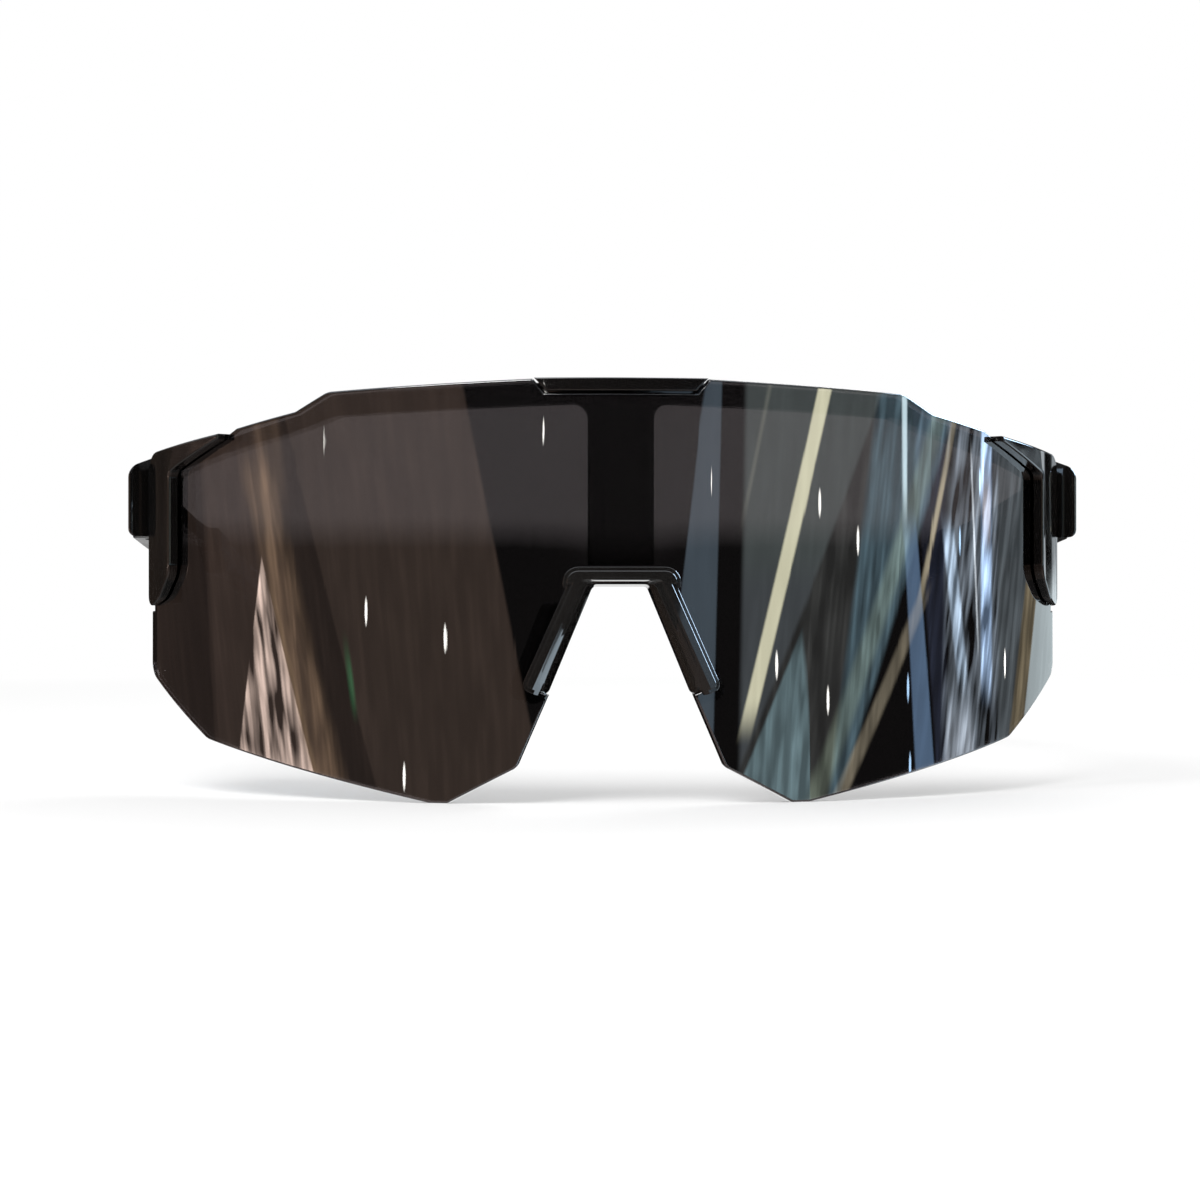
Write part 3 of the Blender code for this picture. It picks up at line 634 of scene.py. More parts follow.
def finish_pair(left, stem, body, material_of):
    """Finishes a left piece and its mirror image."""
    right = mirrored(left, stem + "_right_shell")
    for obj, side in ((left, "left"), (right, "right")):
        rides = body if body == "front" else body + side
        finished(obj, stem + "_" + side + "_shell", rides, stem + "_" + side, material_of(side))


def both_halves(half):
    """A whole outline from its half at +u, which runs outwards and up from the bottom."""
    return half + [(-u, z, radius) for u, z, radius in reversed(half)]


def on_side(corners, side):
    """Corners as drawn at side 1, or their mirror image at side -1."""
    return [(side * u, z, radius) for u, z, radius in corners]


def rectangle(low, high):
    """The corners of a rectangle."""
    return [(low[0], low[1], 0), (high[0], low[1], 0), (high[0], high[1], 0), (low[0], high[1], 0)]


def nose_line(z, offset):
    """u of the edge of the nose cut-out at height z, moved towards the lens by an offset."""
    return nostril_half - (z - nostril_height) * math.tan(nose_angle) + offset / math.cos(nose_angle)


def across_nose_line(z, offset, across):
    """The corner that lies square across the nose line from the one at height z and offset."""
    return nose_line(z, offset) + across * math.cos(nose_angle), z + across * math.sin(nose_angle)


def add(tree, kind, inputs=None, **settings):
    """A new node, with its settings and the values or links of its inputs."""
    made = tree.nodes.new(kind)
    for name, value in settings.items():
        setattr(made, name, value)
    for name, value in (inputs or {}).items():
        if isinstance(value, bpy.types.NodeSocket):
            tree.links.new(value, made.inputs[name])
        else:
            made.inputs[name].default_value = value
    return made


def new_material(name):
    """A material with a bare Principled shader, its tree and its Object coordinates."""
    made = bpy.data.materials.new(name)
    made.use_nodes = True
    tree = made.node_tree
    shader = tree.nodes["Principled BSDF"]
    place = add(tree, "ShaderNodeTexCoord").outputs["Object"]
    return made, tree, shader, place


def noise(tree, place, spacing, detail=2.0):
    """A noise whose features are about a spacing apart."""
    inputs = {"Vector": place, "Scale": 1 / spacing, "Detail": detail}
    return add(tree, "ShaderNodeTexNoise", inputs).outputs["Fac"]


def ranged(tree, value, low, high, start=0.3, end=0.7):
    """A value between start and end, spread over low to high."""
    inputs = {"Value": value, "From Min": start, "From Max": end, "To Min": low, "To Max": high}
    return add(tree, "ShaderNodeMapRange", inputs).outputs["Result"]


def blended(tree, factor, first, second):
    """A mix of two colours, which are values or links."""
    tones = [tone if isinstance(tone, bpy.types.NodeSocket) else (*tone, 1) for tone in (first, second)]
    return add(tree, "ShaderNodeMix", {0: factor, 6: tones[0], 7: tones[1]}, data_type="RGBA").outputs[2]


def scaled(values, factor):
    """A colour made lighter or darker."""
    return tuple(value * factor for value in values)


def given(shader, values):
    """Sets plain numbers on a shader's own sockets."""
    for name, value in values.items():
        shader.inputs[name].default_value = value


def coloured(tree, shader, pattern, tone, dark, light):
    """Gives a shader a tone that runs from darker to lighter over a pattern from 0 to 1."""
    base = blended(tree, pattern, scaled(tone, dark), scaled(tone, light))
    tree.links.new(base, shader.inputs["Base Color"])


def grained(tree, shader, heights, height):
    """Gives a shader bump from a grain and its height."""
    inputs = {"Height": heights, "Distance": height, "Strength": 1.0}
    bump = add(tree, "ShaderNodeBump", inputs)
    tree.links.new(bump.outputs["Normal"], shader.inputs["Normal"])


def gloss_black(name, tone, settings):
    """Polished black plastic with a faint orange peel and wiped smudges."""
    made, tree, shader, place = new_material(name)
    patches = ranged(tree, noise(tree, place, gloss_patches, 3.0), 0, 1)
    coloured(tree, shader, patches, tone, 0.85, 1.35)
    low = settings.gloss_roughness
    smudges = ranged(tree, noise(tree, place, gloss_smudges, 5.0), low, low * 2, 0.45, 0.75)
    tree.links.new(smudges, shader.inputs["Roughness"])
    grained(tree, shader, noise(tree, place, gloss_peel, 1.0), gloss_peel_height)
    given(shader, {"IOR": 1.52, "Coat Weight": 1.0, "Coat IOR": 1.7, "Coat Roughness": 0.03})
    return made


def satin_black(name, settings):
    """Black plastic from a spark-eroded mould."""
    made, tree, shader, place = new_material(name)
    patches = ranged(tree, noise(tree, place, satin_patches), 0, 1)
    coloured(tree, shader, patches, settings.satin_colour, 0.85, 1.3)
    low = settings.satin_roughness
    rubbed = ranged(tree, noise(tree, place, satin_rubbing, 4.0), low * 0.85, low * 1.3)
    tree.links.new(rubbed, shader.inputs["Roughness"])
    grained(tree, shader, noise(tree, place, satin_grain), satin_grain_height)
    given(shader, {"IOR": 1.50})
    return made


def smoke_lens(name, settings):
    """Smoked polycarbonate with a mirror coat and wiped smudges."""
    made, tree, shader, place = new_material(name)
    patches = ranged(tree, noise(tree, place, lens_patches), 0, 1)
    coloured(tree, shader, patches, settings.tint, 0.95, 1.05)
    smudges = ranged(tree, noise(tree, place, lens_smudges, 5.0), 0, settings.smudge, 0.5, 0.8)
    tree.links.new(smudges, shader.inputs["Roughness"])
    given(shader, {"Transmission Weight": 1.0, "IOR": settings.refraction})
    given(shader, {"Coat Weight": 1.0, "Coat IOR": settings.mirror, "Coat Roughness": 0.0})
    return made


def soft_rubber(name, settings):
    """Matt black rubber with a fine grain and rubbed patches."""
    made, tree, shader, place = new_material(name)
    patches = ranged(tree, noise(tree, place, rubber_patches, 3.0), 0, 1)
    coloured(tree, shader, patches, settings.rubber_colour, 0.8, 1.5)
    low = settings.roughness
    rubbed = ranged(tree, noise(tree, place, rubber_rubbing, 4.0), low * 0.85, low * 1.2)
    tree.links.new(rubbed, shader.inputs["Roughness"])
    grained(tree, shader, noise(tree, place, rubber_grain), settings.grain)
    given(shader, {"Sheen Weight": 0.15, "Sheen Roughness": 0.4})
    return made


def turned_metal(name, tone, settings, axis):
    """Metal with the fine rings that a lathe leaves round an upright axis."""
    made, tree, shader, place = new_material(name)
    centred = add(tree, "ShaderNodeMapping", {"Vector": place, "Location": (-axis.x, -axis.y, 0)})
    inputs = {"Vector": centred.outputs["Vector"], "Scale": 1 / lathe_rings, "Distortion": lathe_wobble}
    wave = add(tree, "ShaderNodeTexWave", inputs, wave_type="RINGS", rings_direction="Z")
    rings = wave.outputs["Fac"]
    coloured(tree, shader, rings, tone, 0.82, 1.0)
    low = settings.roughness
    tree.links.new(ranged(tree, rings, low * 0.8, low * 1.4, 0, 1), shader.inputs["Roughness"])
    grained(tree, shader, rings, lathe_ring_height)
    given(shader, {"Metallic": 1.0})
    return made


def lens_outline():
    """The lens: nose cut-out with the bridge's seat, lower edge, side, and top with the notch."""
    seat_foot = bridge_foot_height + bridge_web
    step_u, step_z = across_nose_line(seat_foot, bridge_seat, -bridge_seat)
    return both_halves([
        (nose_line(bridge_cut_top, bridge_seat), bridge_cut_top, 0),
        (nose_line(seat_foot, bridge_seat), seat_foot, 0),
        (step_u, step_z, 0),
        (nostril_half, nostril_height, nostril_radius),
        (tip_inner_half, 0, tip_radius),
        (tip_inner_half + tip_width, 0, tip_radius),
        (lens_half_arc - jaw_inset, jaw_height, jaw_radius),
        (lens_half_arc, cheek_height, cheek_radius),
        (lens_half_arc, clip_foot_height - gap, 0),
        (lens_clip_half, clip_foot_height - gap, 0),
        (lens_clip_half, lens_height - lens_corner_drop, lens_corner_radius),
        (seat_half, lens_height - seat_drop, 0),
        (seat_top_half, lens_height - seat_top_drop, 0),
        (shoulder_half, lens_height - shoulder_drop, shoulder_radius),
        (brow_half, lens_height - brow_drop, brow_radius),
        (hook_top_half + gap, lens_height - crown_drop, 0),
        (hook_bottom_half + gap, lens_height - hook_height - gap, 0),
    ])


class GLASSES_OT_lens(bpy.types.Operator):
    """Models the one-piece lens"""

    bl_idname = "glasses.lens"
    bl_label = "Lens"

    def execute(self, context):
        settings = context.scene.glasses_lens
        lens = plate("lens_shell", lens_outline(), 0, lens_thickness)
        soften_rims(lens, (0, lens_thickness), settings.edge)
        bent(lens, lens_radius, bend_step)
        placed(lens, (0, front_y, 0))
        finished(lens, "lens_shell", "front", "lens", smoke_lens("smoke_lens", settings))
        return {"FINISHED"}


def frame_outline():
    """The frame: centre post, brow bar and the two side arms behind the clips."""
    window_brow_half = brow_half - window_brow_inset
    window_shoulder_half = shoulder_half - window_shoulder_inset
    return both_halves([
        (post_half, bridge_top + gap, 0),
        (post_half, lens_height - bar_height, window_corner_radius),
        (window_brow_half, lens_height - brow_drop - bar_height, window_corner_radius),
        (window_shoulder_half, lens_height - window_shoulder_drop, window_corner_radius),
        (window_shoulder_half + window_bend_reach, lens_height - window_bend_drop, 0),
        (side_arm_half, lens_height - window_end_drop, side_arm_radius),
        (side_arm_half, side_arm_foot, side_arm_radius),
        (clip_outer_half, side_arm_foot, clip_foot_radius),
        (clip_outer_half, clip_corner_height - frame_inset, clip_corner_radius),
        (clip_start_half, clip_start_height - frame_inset, 0),
        (shoulder_half, lens_height - shoulder_drop - frame_inset, 0),
        (brow_half, lens_height - brow_drop - frame_inset, brow_radius),
        (hook_top_half, lens_height - crown_drop - frame_inset, 0),
    ])


def frame_hook(edge):
    """The lip that fills the notch in the lens's top edge."""
    outline = both_halves([
        (hook_bottom_half, lens_height - hook_height, 0),
        (hook_top_half, lens_height, 0),
    ])
    hook = plate("hook", outline, -hook_proud, frame_front + bury)
    soften_rims(hook, (-hook_proud,), edge)
    return bent(hook, lens_radius, bend_step * 1.5)


def cylinder(radius, foot, top, place=(0, 0), sides=48):
    """An upright cylinder, as a shape or a cutter."""
    deselect()
    middle = (*place, (foot + top) / 2)
    bpy.ops.mesh.primitive_cylinder_add(vertices=sides, radius=radius, depth=top - foot, location=middle)
    bpy.ops.object.transform_apply(location=True, rotation=True, scale=True)
    return bpy.context.object


def endpiece(side, edge):
    """The block at one end of the frame, cut back where the clip and the lens are."""
    outline = on_side([
        (end_x - endpiece_width, level, 0),
        (end_x, level, endpiece_foot_radius),
        (end_x, level + endpiece_outer_height, endpiece_top_radius),
        (end_x - endpiece_width, level + endpiece_inner_height, 0),
    ], side)
    back = endpiece_back - front_y
    block = plate("endpiece", outline, back - endpiece_depth, back)
    soften_rims(block, (back - endpiece_depth, back), edge)
    low = (side_arm_half, level - overrun)
    high = (clip_outer_half + gap, level + endpiece_inner_height + overrun)
    shield = plate("shield", on_side(rectangle(low, high), side), -endpiece_shield, frame_front + bury)
    return joined(block, bent(shield, lens_radius, bend_step), "DIFFERENCE")


def knuckle(side):
    """The frame's tongue of a hinge, with a round end and the pin's bore."""
    foot = level + knuckle_foot
    top = foot + knuckle_height
    axis = (side * hinge_left.x, hinge_left.y - front_y)
    barrel = cylinder(knuckle_radius, foot, top, axis)
    low = (axis[0] - knuckle_radius, endpiece_back - front_y - overrun)
    high = (axis[0] + knuckle_radius, axis[1])
    joined(barrel, plate("neck", rectangle(low, high), foot, top, "top"), "UNION")
    pin_bore = cylinder(screw_radius + gap, foot - overrun / 2, top + overrun / 2, axis, 32)
    return joined(barrel, pin_bore, "DIFFERENCE")


class GLASSES_OT_frame(bpy.types.Operator):
    """Models the half frame with its hook, end-pieces and hinge tongues"""

    bl_idname = "glasses.frame"
    bl_label = "Frame"

    def execute(self, context):
        settings = context.scene.glasses_shell
        shell = plate("frame_shell", frame_outline(), frame_front, frame_back)
        soften_rims(shell, (frame_front, frame_back), settings.edge)
        bent(shell, lens_radius, bend_step * 2)
        joined(shell, frame_hook(settings.edge / 2), "UNION")
        for side in (1, -1):
            joined(shell, endpiece(side, settings.edge), "UNION")
            joined(shell, knuckle(side), "UNION")
        placed(shell, (0, front_y, 0))
        material = gloss_black("gloss_frame", settings.gloss_colour, settings)
        finished(shell, "frame_shell", "front", "frame", material)
        return {"FINISHED"}


def clip_outline(chamfer):
    """A side clip: its inner edge down to the foot, and its rim, drawn in by a chamfer, back up."""
    inner_half = clip_outer_half - clip_width
    return [
        (clip_start_half, clip_start_height - clip_start_width, 0),
        (inner_half, clip_corner_height - clip_top_width, clip_ridge_radius),
        (inner_half, clip_foot_height + clip_bend_rise, clip_bend_radius),
        (clip_outer_half - clip_foot_width, clip_foot_height + clip_foot_rise, clip_bend_radius),
        (clip_outer_half - chamfer, clip_foot_height, clip_foot_radius),
        (clip_outer_half - chamfer, clip_corner_height, clip_corner_radius),
        (clip_start_half, clip_start_height, 0),
    ]


def slope_clip(clip):
    """Draws the front of a flat clip in to its chamfered rim, and slopes it back from the ridge."""
    chamfered = clip_outline(clip_chamfer)
    for point, target in guided(clip, chamfered, clip_ridge_depth, lens_thickness, clip_ridge_depth):
        slope = max(1 - (clip_outer_half - point.co.x) / clip_width, 0)
        depth = clip_ridge_depth + slope * (clip_roof_depth - clip_ridge_depth)
        point.co = (target.x, depth, target.z)


def lens_room(low_half):
    """The room that the lens needs in a side clip."""
    side = lens_clip_half + gap
    outline = [
        (low_half, clip_foot_height - overrun, 0),
        (side, clip_foot_height - overrun, 0),
        (side, lens_height - lens_corner_drop + gap, lens_corner_radius + gap),
        (seat_half, lens_height - seat_drop + gap, 0),
        (seat_top_half, lens_height - seat_top_drop + gap, 0),
        (low_half, lens_height - seat_top_drop + gap, 0),
    ]
    return bent(plate("lens_room", outline, -gap, lens_thickness + gap), lens_radius, bend_step)


class GLASSES_OT_side_clips(bpy.types.Operator):
    """Models the glossy clips over the lens's upper outer corners"""

    bl_idname = "glasses.side_clips"
    bl_label = "Side Clips"

    def execute(self, context):
        settings = context.scene.glasses_shell
        clip = plate("clip", clip_outline(0), clip_ridge_depth, lens_thickness)
        slope_clip(clip)

        def on_front(edge):
            return all(vertex.co.y < clip_roof_depth + weld for vertex in edge.verts)

        soften(clip, on_front, settings.edge, 4)
        bent(clip, lens_radius, bend_step)
        joined(clip, lens_room(clip_start_half - overrun), "DIFFERENCE")
        placed(clip, (0, front_y, 0))
        finish_pair(
            clip, "side_clip", "front",
            lambda side: gloss_black("gloss_clip_" + side, settings.gloss_colour, settings),
        )
        return {"FINISHED"}


def bridge_outline(sag=0.0):
    """The nose bridge: an arch, which may sag, with two straight arms along the nose cut-out."""
    arm_outer = bridge_inset + bridge_arm_width
    inner_top = bridge_inner_top - sag
    foot_u, foot_z = across_nose_line(bridge_foot_height, bridge_inset, bridge_arm_width)
    return both_halves([
        (nose_line(inner_top, bridge_inset), inner_top, bridge_corner_radius),
        (nose_line(bridge_foot_height, bridge_inset), bridge_foot_height, bridge_foot_radius),
        (foot_u, foot_z, bridge_foot_radius),
        (nose_line(bridge_shoulder_height, arm_outer), bridge_shoulder_height, 0),
        (bridge_shoulder_half, bridge_shoulder_height, 0),
        (bridge_shoulder_half, bridge_top, bridge_shoulder_radius),
    ])


def nose_gap_outline(reach):
    """The gap between the bridge's arms, widened by a reach, and open below."""
    low = bridge_foot_height - overrun * 2
    high = bridge_inner_top + reach * bridge_brow_share
    return both_halves([
        (nose_line(low, bridge_inset + reach), low, 0),
        (nose_line(high, bridge_inset + reach), high, bridge_corner_radius),
    ])


def slope_bridge(bridge):
    """Cuts two slopes, a flat one and a steep one, round the inner front edge of the bridge."""
    flat_rate = (bridge_slope - bridge_slope_mid) / bridge_slope_mid_depth
    steep_rate = bridge_slope_mid / (bridge_slope_depth - bridge_slope_mid_depth)
    middle = bridge_front + bridge_slope_mid_depth
    back = bridge_front + bridge_slope_depth
    for first, last, start, end in (
        (bridge_slope + overrun * flat_rate, bridge_slope_mid, bridge_front - overrun, middle),
        (bridge_slope_mid + bury * steep_rate, 0, middle - bury, back),
    ):
        slope = tapered("slope", nose_gap_outline(first), nose_gap_outline(last), start, end)
        joined(bridge, slope, "DIFFERENCE")


def bridge_room():
    """The room that the lens and the post need in the bridge, open to the outside."""
    seat_foot = bridge_foot_height + bridge_web - gap
    offset = bridge_seat - gap
    cut_top = bridge_cut_top - gap
    outer = lens_half_arc / 2
    step_u, step_z = across_nose_line(seat_foot, offset, -offset - overrun)
    outline = both_halves([
        (nose_line(cut_top, offset), cut_top, 0),
        (nose_line(seat_foot, offset), seat_foot, 0),
        (step_u, step_z, 0),
        (step_u, step_z - overrun * 2, 0),
        (outer, step_z - overrun * 2, 0),
        (outer, bridge_top + overrun, 0),
    ])
    return bent(plate("bridge_room", outline, -gap, lens_thickness + gap), lens_radius, bend_step)


def pad_rib_outline(side, grow=0.0):
    """The rib of a nose pad, or with some growth the slot that it fills."""
    low = pad_foot_height + pad_rib_margin - grow
    high = pad_top_height - pad_rib_margin + grow
    inner = bridge_inset + (bridge_arm_width - pad_rib_width) / 2 - grow
    across = pad_rib_width + 2 * grow
    return on_side([
        (nose_line(low, inner), low, 0),
        (*across_nose_line(low, inner, across), 0),
        (*across_nose_line(high, inner, across), 0),
        (nose_line(high, inner), high, 0),
    ], side)


class GLASSES_OT_nose_bridge(bpy.types.Operator):
    """Models the hard arch round the top of the nose cut-out"""

    bl_idname = "glasses.nose_bridge"
    bl_label = "Nose Bridge"

    def execute(self, context):
        settings = context.scene.glasses_shell
        step = bridge_front + bridge_lip_drop
        bridge = tapered("bridge", bridge_outline(), bridge_outline(bridge_sag), step, bridge_depth)
        pick(bridge, "faces", lambda face: all(abs(vertex.co.y - step) < weld for vertex in face.verts))
        bpy.ops.mesh.inset(thickness=bridge_lip)
        bpy.ops.mesh.extrude_region_move(TRANSFORM_OT_translate={"value": (0, -bridge_lip_drop, 0)})
        bpy.ops.object.mode_set(mode="OBJECT")
        soften_corners(bridge, bridge_chamfer, 1, slope_angle)
        slope_bridge(bridge)
        bent(bridge, lens_radius, bend_step)
        joined(bridge, bridge_room(), "DIFFERENCE")
        for side in (1, -1):
            start = bridge_depth - pad_rib_depth
            slot = plate("slot", pad_rib_outline(side, gap), start, bridge_depth + overrun)
            joined(bridge, bent(slot, lens_radius, bend_step), "DIFFERENCE")
        placed(bridge, (0, front_y, 0))
        material = gloss_black("gloss_bridge", settings.bridge_colour, settings)
        finished(bridge, "nose_bridge_shell", "front", "nose_bridge", material)
        return {"FINISHED"}


def pad_outline():
    """The body of a nose pad, seen from the front."""
    return [
        (nose_line(pad_foot_height, pad_inset), pad_foot_height, pad_end_radius),
        (*across_nose_line(pad_foot_height, pad_inset, pad_width), pad_end_radius),
        (*across_nose_line(pad_top_height, pad_inset, pad_width), pad_end_radius),
        (nose_line(pad_top_height, pad_inset), pad_top_height, pad_end_radius),
    ]


class GLASSES_OT_nose_pads(bpy.types.Operator):
    """Models the soft pads behind the nose bridge"""

    bl_idname = "glasses.nose_pads"
    bl_label = "Nose Pads"

    def execute(self, context):
        settings = context.scene.glasses_rubber
        pad_front = bridge_depth + gap
        pad_back = pad_front + pad_depth
        pad = plate("pad", pad_outline(), pad_front, pad_back)
        pick(pad, "verts", lambda vertex: abs(vertex.co.y - pad_back) < weld)
        bpy.ops.transform.translate(value=(pad_flare, 0, 0))
        bpy.ops.object.mode_set(mode="OBJECT")
        soften_rims(pad, (pad_front, pad_back), pad_edge, 4)
        bent(pad, lens_radius, bend_step / 2)
        rib = plate("rib", pad_rib_outline(1), bridge_depth - pad_rib_depth + gap, pad_front + pad_depth / 2)
        joined(pad, bent(rib, lens_radius, bend_step), "UNION")
        placed(pad, (0, front_y, 0))
        finish_pair(
            pad, "nose_pad", "front",
            lambda side: soft_rubber("pad_rubber_" + side, settings),
        )
        return {"FINISHED"}


def along_sock(part):
    """The place along the temple at a share of the ear sock's length."""
    return bar_end_length + part * (temple_length - bar_end_length)


def core_outline(grow=0.0):
    """The core inside the ear sock, seen from the side, or with some growth its pocket."""
    start = bar_end_length - overrun
    bend = along_sock(core_bend_share)
    end = along_sock(core_end_share) + grow
    return [
        (start, core_start_top - core_height - grow, 0),
        (bend, core_bend_top - core_height - grow, 0),
        (end, core_end_top - core_height - grow, 0),
        (end, core_end_top + grow, 0),
        (bend, core_bend_top + grow, 0),
        (start, core_start_top + grow, 0),
    ]


def temple_side_outline():
    """The temple seen from the side: deep root, step up, and slim bar down to the ear sock."""
    return [
        (-hinge_setback, 0, root_radius),
        (blade_length, blade_foot, step_radius),
        (step_top_length, bar_start_top - bar_thickness, step_radius),
        (bar_mid_length, bar_mid_top - bar_thickness, 0),
        (bar_end_length, bar_end_top - bar_thickness, 0),
        (bar_end_length, bar_end_top, 0),
        (bar_mid_length, bar_mid_top, 0),
        (step_top_length, bar_start_top, 0),
        (-hinge_setback, root_top, root_radius),
    ]


def temple_plan_outline():
    """The temple from above, outer side at -Y: round by the hinge, slimmer towards the bar."""
    last_turn = math.asin(-root_inner / hinge_setback)
    turns = [last_turn * (1 - step / corner_steps) for step in range(corner_steps + 1)]
    arc = [(-hinge_setback * math.cos(turn), hinge_setback * math.sin(turn), 0) for turn in turns]
    return [
        (-hinge_setback, -temple_outer, 0),
        (bar_end_length + overrun, -temple_outer, 0),
        (bar_end_length + overrun, -bar_inner, 0),
        (blade_length, -blade_end_inner, 0),
        (root_taper_end, -blade_inner, 0),
        (root_length, -root_inner, 0),
        *arc,
    ]


def bowed(obj):
    """Bends a straight temple inwards by the bow."""
    return bent(obj, bow_radius, bow_step)


def hung(obj):
    """Turns a piece of the left temple to run back from its hinge."""
    return placed(obj, (hinge_left.x, hinge_left.y, level), math.pi / 2)


class GLASSES_OT_temples(bpy.types.Operator):
    """Models the hard parts of the temples, with the hinges' forks"""

    bl_idname = "glasses.temples"
    bl_label = "Temples"

    def execute(self, context):
        settings = context.scene.glasses_shell
        low = blade_foot - overrun
        high = root_top + overrun
        temple = plate("temple", temple_side_outline(), -temple_outer - overrun, -root_inner + overrun)
        joined(temple, plate("plan", temple_plan_outline(), low, high, "top"), "INTERSECT")
        soften_corners(temple, settings.edge)
        joined(temple, plate("core", core_outline(), -core_outer, -core_inner), "UNION")
        reach = knuckle_radius + gap
        fork_room = rectangle((-hinge_setback - overrun, -reach), (reach, -root_inner + overrun))
        fork = plate("fork", fork_room, knuckle_foot - gap, knuckle_top + gap, "top")
        head_floor = screw_head_top - screw_head_height - gap
        nut_ceiling = nut_foot + nut_height + gap
        for cutter in (
            fork,
            cylinder(screw_radius + gap, low, high),
            cylinder(screw_head_radius + gap, head_floor, high),
            cylinder(nut_radius + gap, low, nut_ceiling),
        ):
            joined(temple, cutter, "DIFFERENCE")
        hung(bowed(temple))
        finish_pair(
            temple, "temple", "temple_",
            lambda side: satin_black("satin_" + side, settings),
        )
        return {"FINISHED"}


def sock_outline():
    """The ear sock seen from the side, with its dip over the ear and its round tip."""
    return [
        (bar_end_length + gap, sock_start_foot, 0),
        (along_sock(sock_lobe_share), sock_lobe_foot, sock_corner_radius),
        (along_sock(sock_neck_share), sock_neck_foot, 0),
        (temple_length, sock_tip_foot, sock_tip_radius),
        (temple_length, sock_end_top - sock_tip_radius / 2, sock_tip_radius),
        (along_sock(sock_end_share), sock_end_top, 0),
        (along_sock(sock_ear_share), sock_ear_top, sock_corner_radius),
        (along_sock(sock_dip_share), sock_dip_top, sock_corner_radius),
        (bar_end_length + gap, sock_start_top, 0),
    ]


class GLASSES_OT_ear_socks(bpy.types.Operator):
    """Models the rubber sleeves over the ends of the temples"""

    bl_idname = "glasses.ear_socks"
    bl_label = "Ear Socks"

    def execute(self, context):
        settings = context.scene.glasses_rubber
        sock = plate("sock", sock_outline(), -sock_outer, -sock_inner)
        soften_rims(sock, (-sock_outer, -sock_inner), sock_edge, 5)
        pocket = plate("pocket", core_outline(gap), -core_outer - gap, -core_inner + gap)
        joined(sock, pocket, "DIFFERENCE")
        hung(bowed(sock))
        finish_pair(
            sock, "ear_sock", "temple_",
            lambda side: soft_rubber("sock_rubber_" + side, settings),
        )
        return {"FINISHED"}


class GLASSES_OT_hinge_screws(bpy.types.Operator):
    """Models the slotted steel screws that are the hinges' pins"""

    bl_idname = "glasses.hinge_screws"
    bl_label = "Hinge Screws"

    def execute(self, context):
        settings = context.scene.glasses_metal
        head_foot = screw_head_top - screw_head_height
        screw = cylinder(screw_head_radius, head_foot, screw_head_top)
        pick(screw, "faces", lambda face: face.normal.z < -0.9)
        bpy.ops.mesh.inset(thickness=screw_head_radius - screw_radius)
        shank = Vector((0, 0, screw_foot - head_foot))
        bpy.ops.mesh.extrude_region_move(TRANSFORM_OT_translate={"value": shank})
        soften_rims(screw, (head_foot, screw_head_top, screw_foot), screw_edge, 3, axis=2)
        half = screw_slot_width / 2
        outline = rectangle((-screw_head_radius - overrun, -half), (screw_head_radius + overrun, half))
        slot = plate("slot", outline, screw_head_top - screw_slot_depth, screw_head_top + overrun, "top")
        joined(screw, slot, "DIFFERENCE")
        hung(screw)
        finish_pair(
            screw, "hinge_screw", "temple_",
            lambda side: turned_metal("steel_" + side, settings.steel, settings, hinges["temple_" + side]),
        )
        return {"FINISHED"}


class GLASSES_OT_hinge_nuts(bpy.types.Operator):
    """Models the knurled brass inserts that take the screws"""

    bl_idname = "glasses.hinge_nuts"
    bl_label = "Hinge Inserts"

    def execute(self, context):
        settings = context.scene.glasses_metal
        nut_top = nut_foot + nut_height
        nut = cylinder(nut_radius, nut_foot, nut_top, sides=knurl_steps)
        soften_rims(nut, (nut_foot, nut_top), nut_edge, 2, axis=2)

        def in_groove(vertex):
            step = round(math.atan2(vertex.co.y, vertex.co.x) * knurl_steps / math.tau)
            return step % 2 and math.hypot(vertex.co.x, vertex.co.y) > nut_radius - weld

        pick(nut, "verts", in_groove)
        inner = 1 - knurl_depth / nut_radius
        middle = (0, 0, (nut_foot + nut_top) / 2)
        bpy.ops.transform.resize(value=(inner, inner, 1), center_override=middle)
        bpy.ops.object.mode_set(mode="OBJECT")
        joined(nut, cylinder(screw_radius + gap, nut_foot - overrun, nut_top + overrun), "DIFFERENCE")
        hung(nut)
        finish_pair(
            nut, "hinge_nut", "temple_",
            lambda side: turned_metal("brass_" + side, settings.brass, settings, hinges["temple_" + side]),
        )
        return {"FINISHED"}


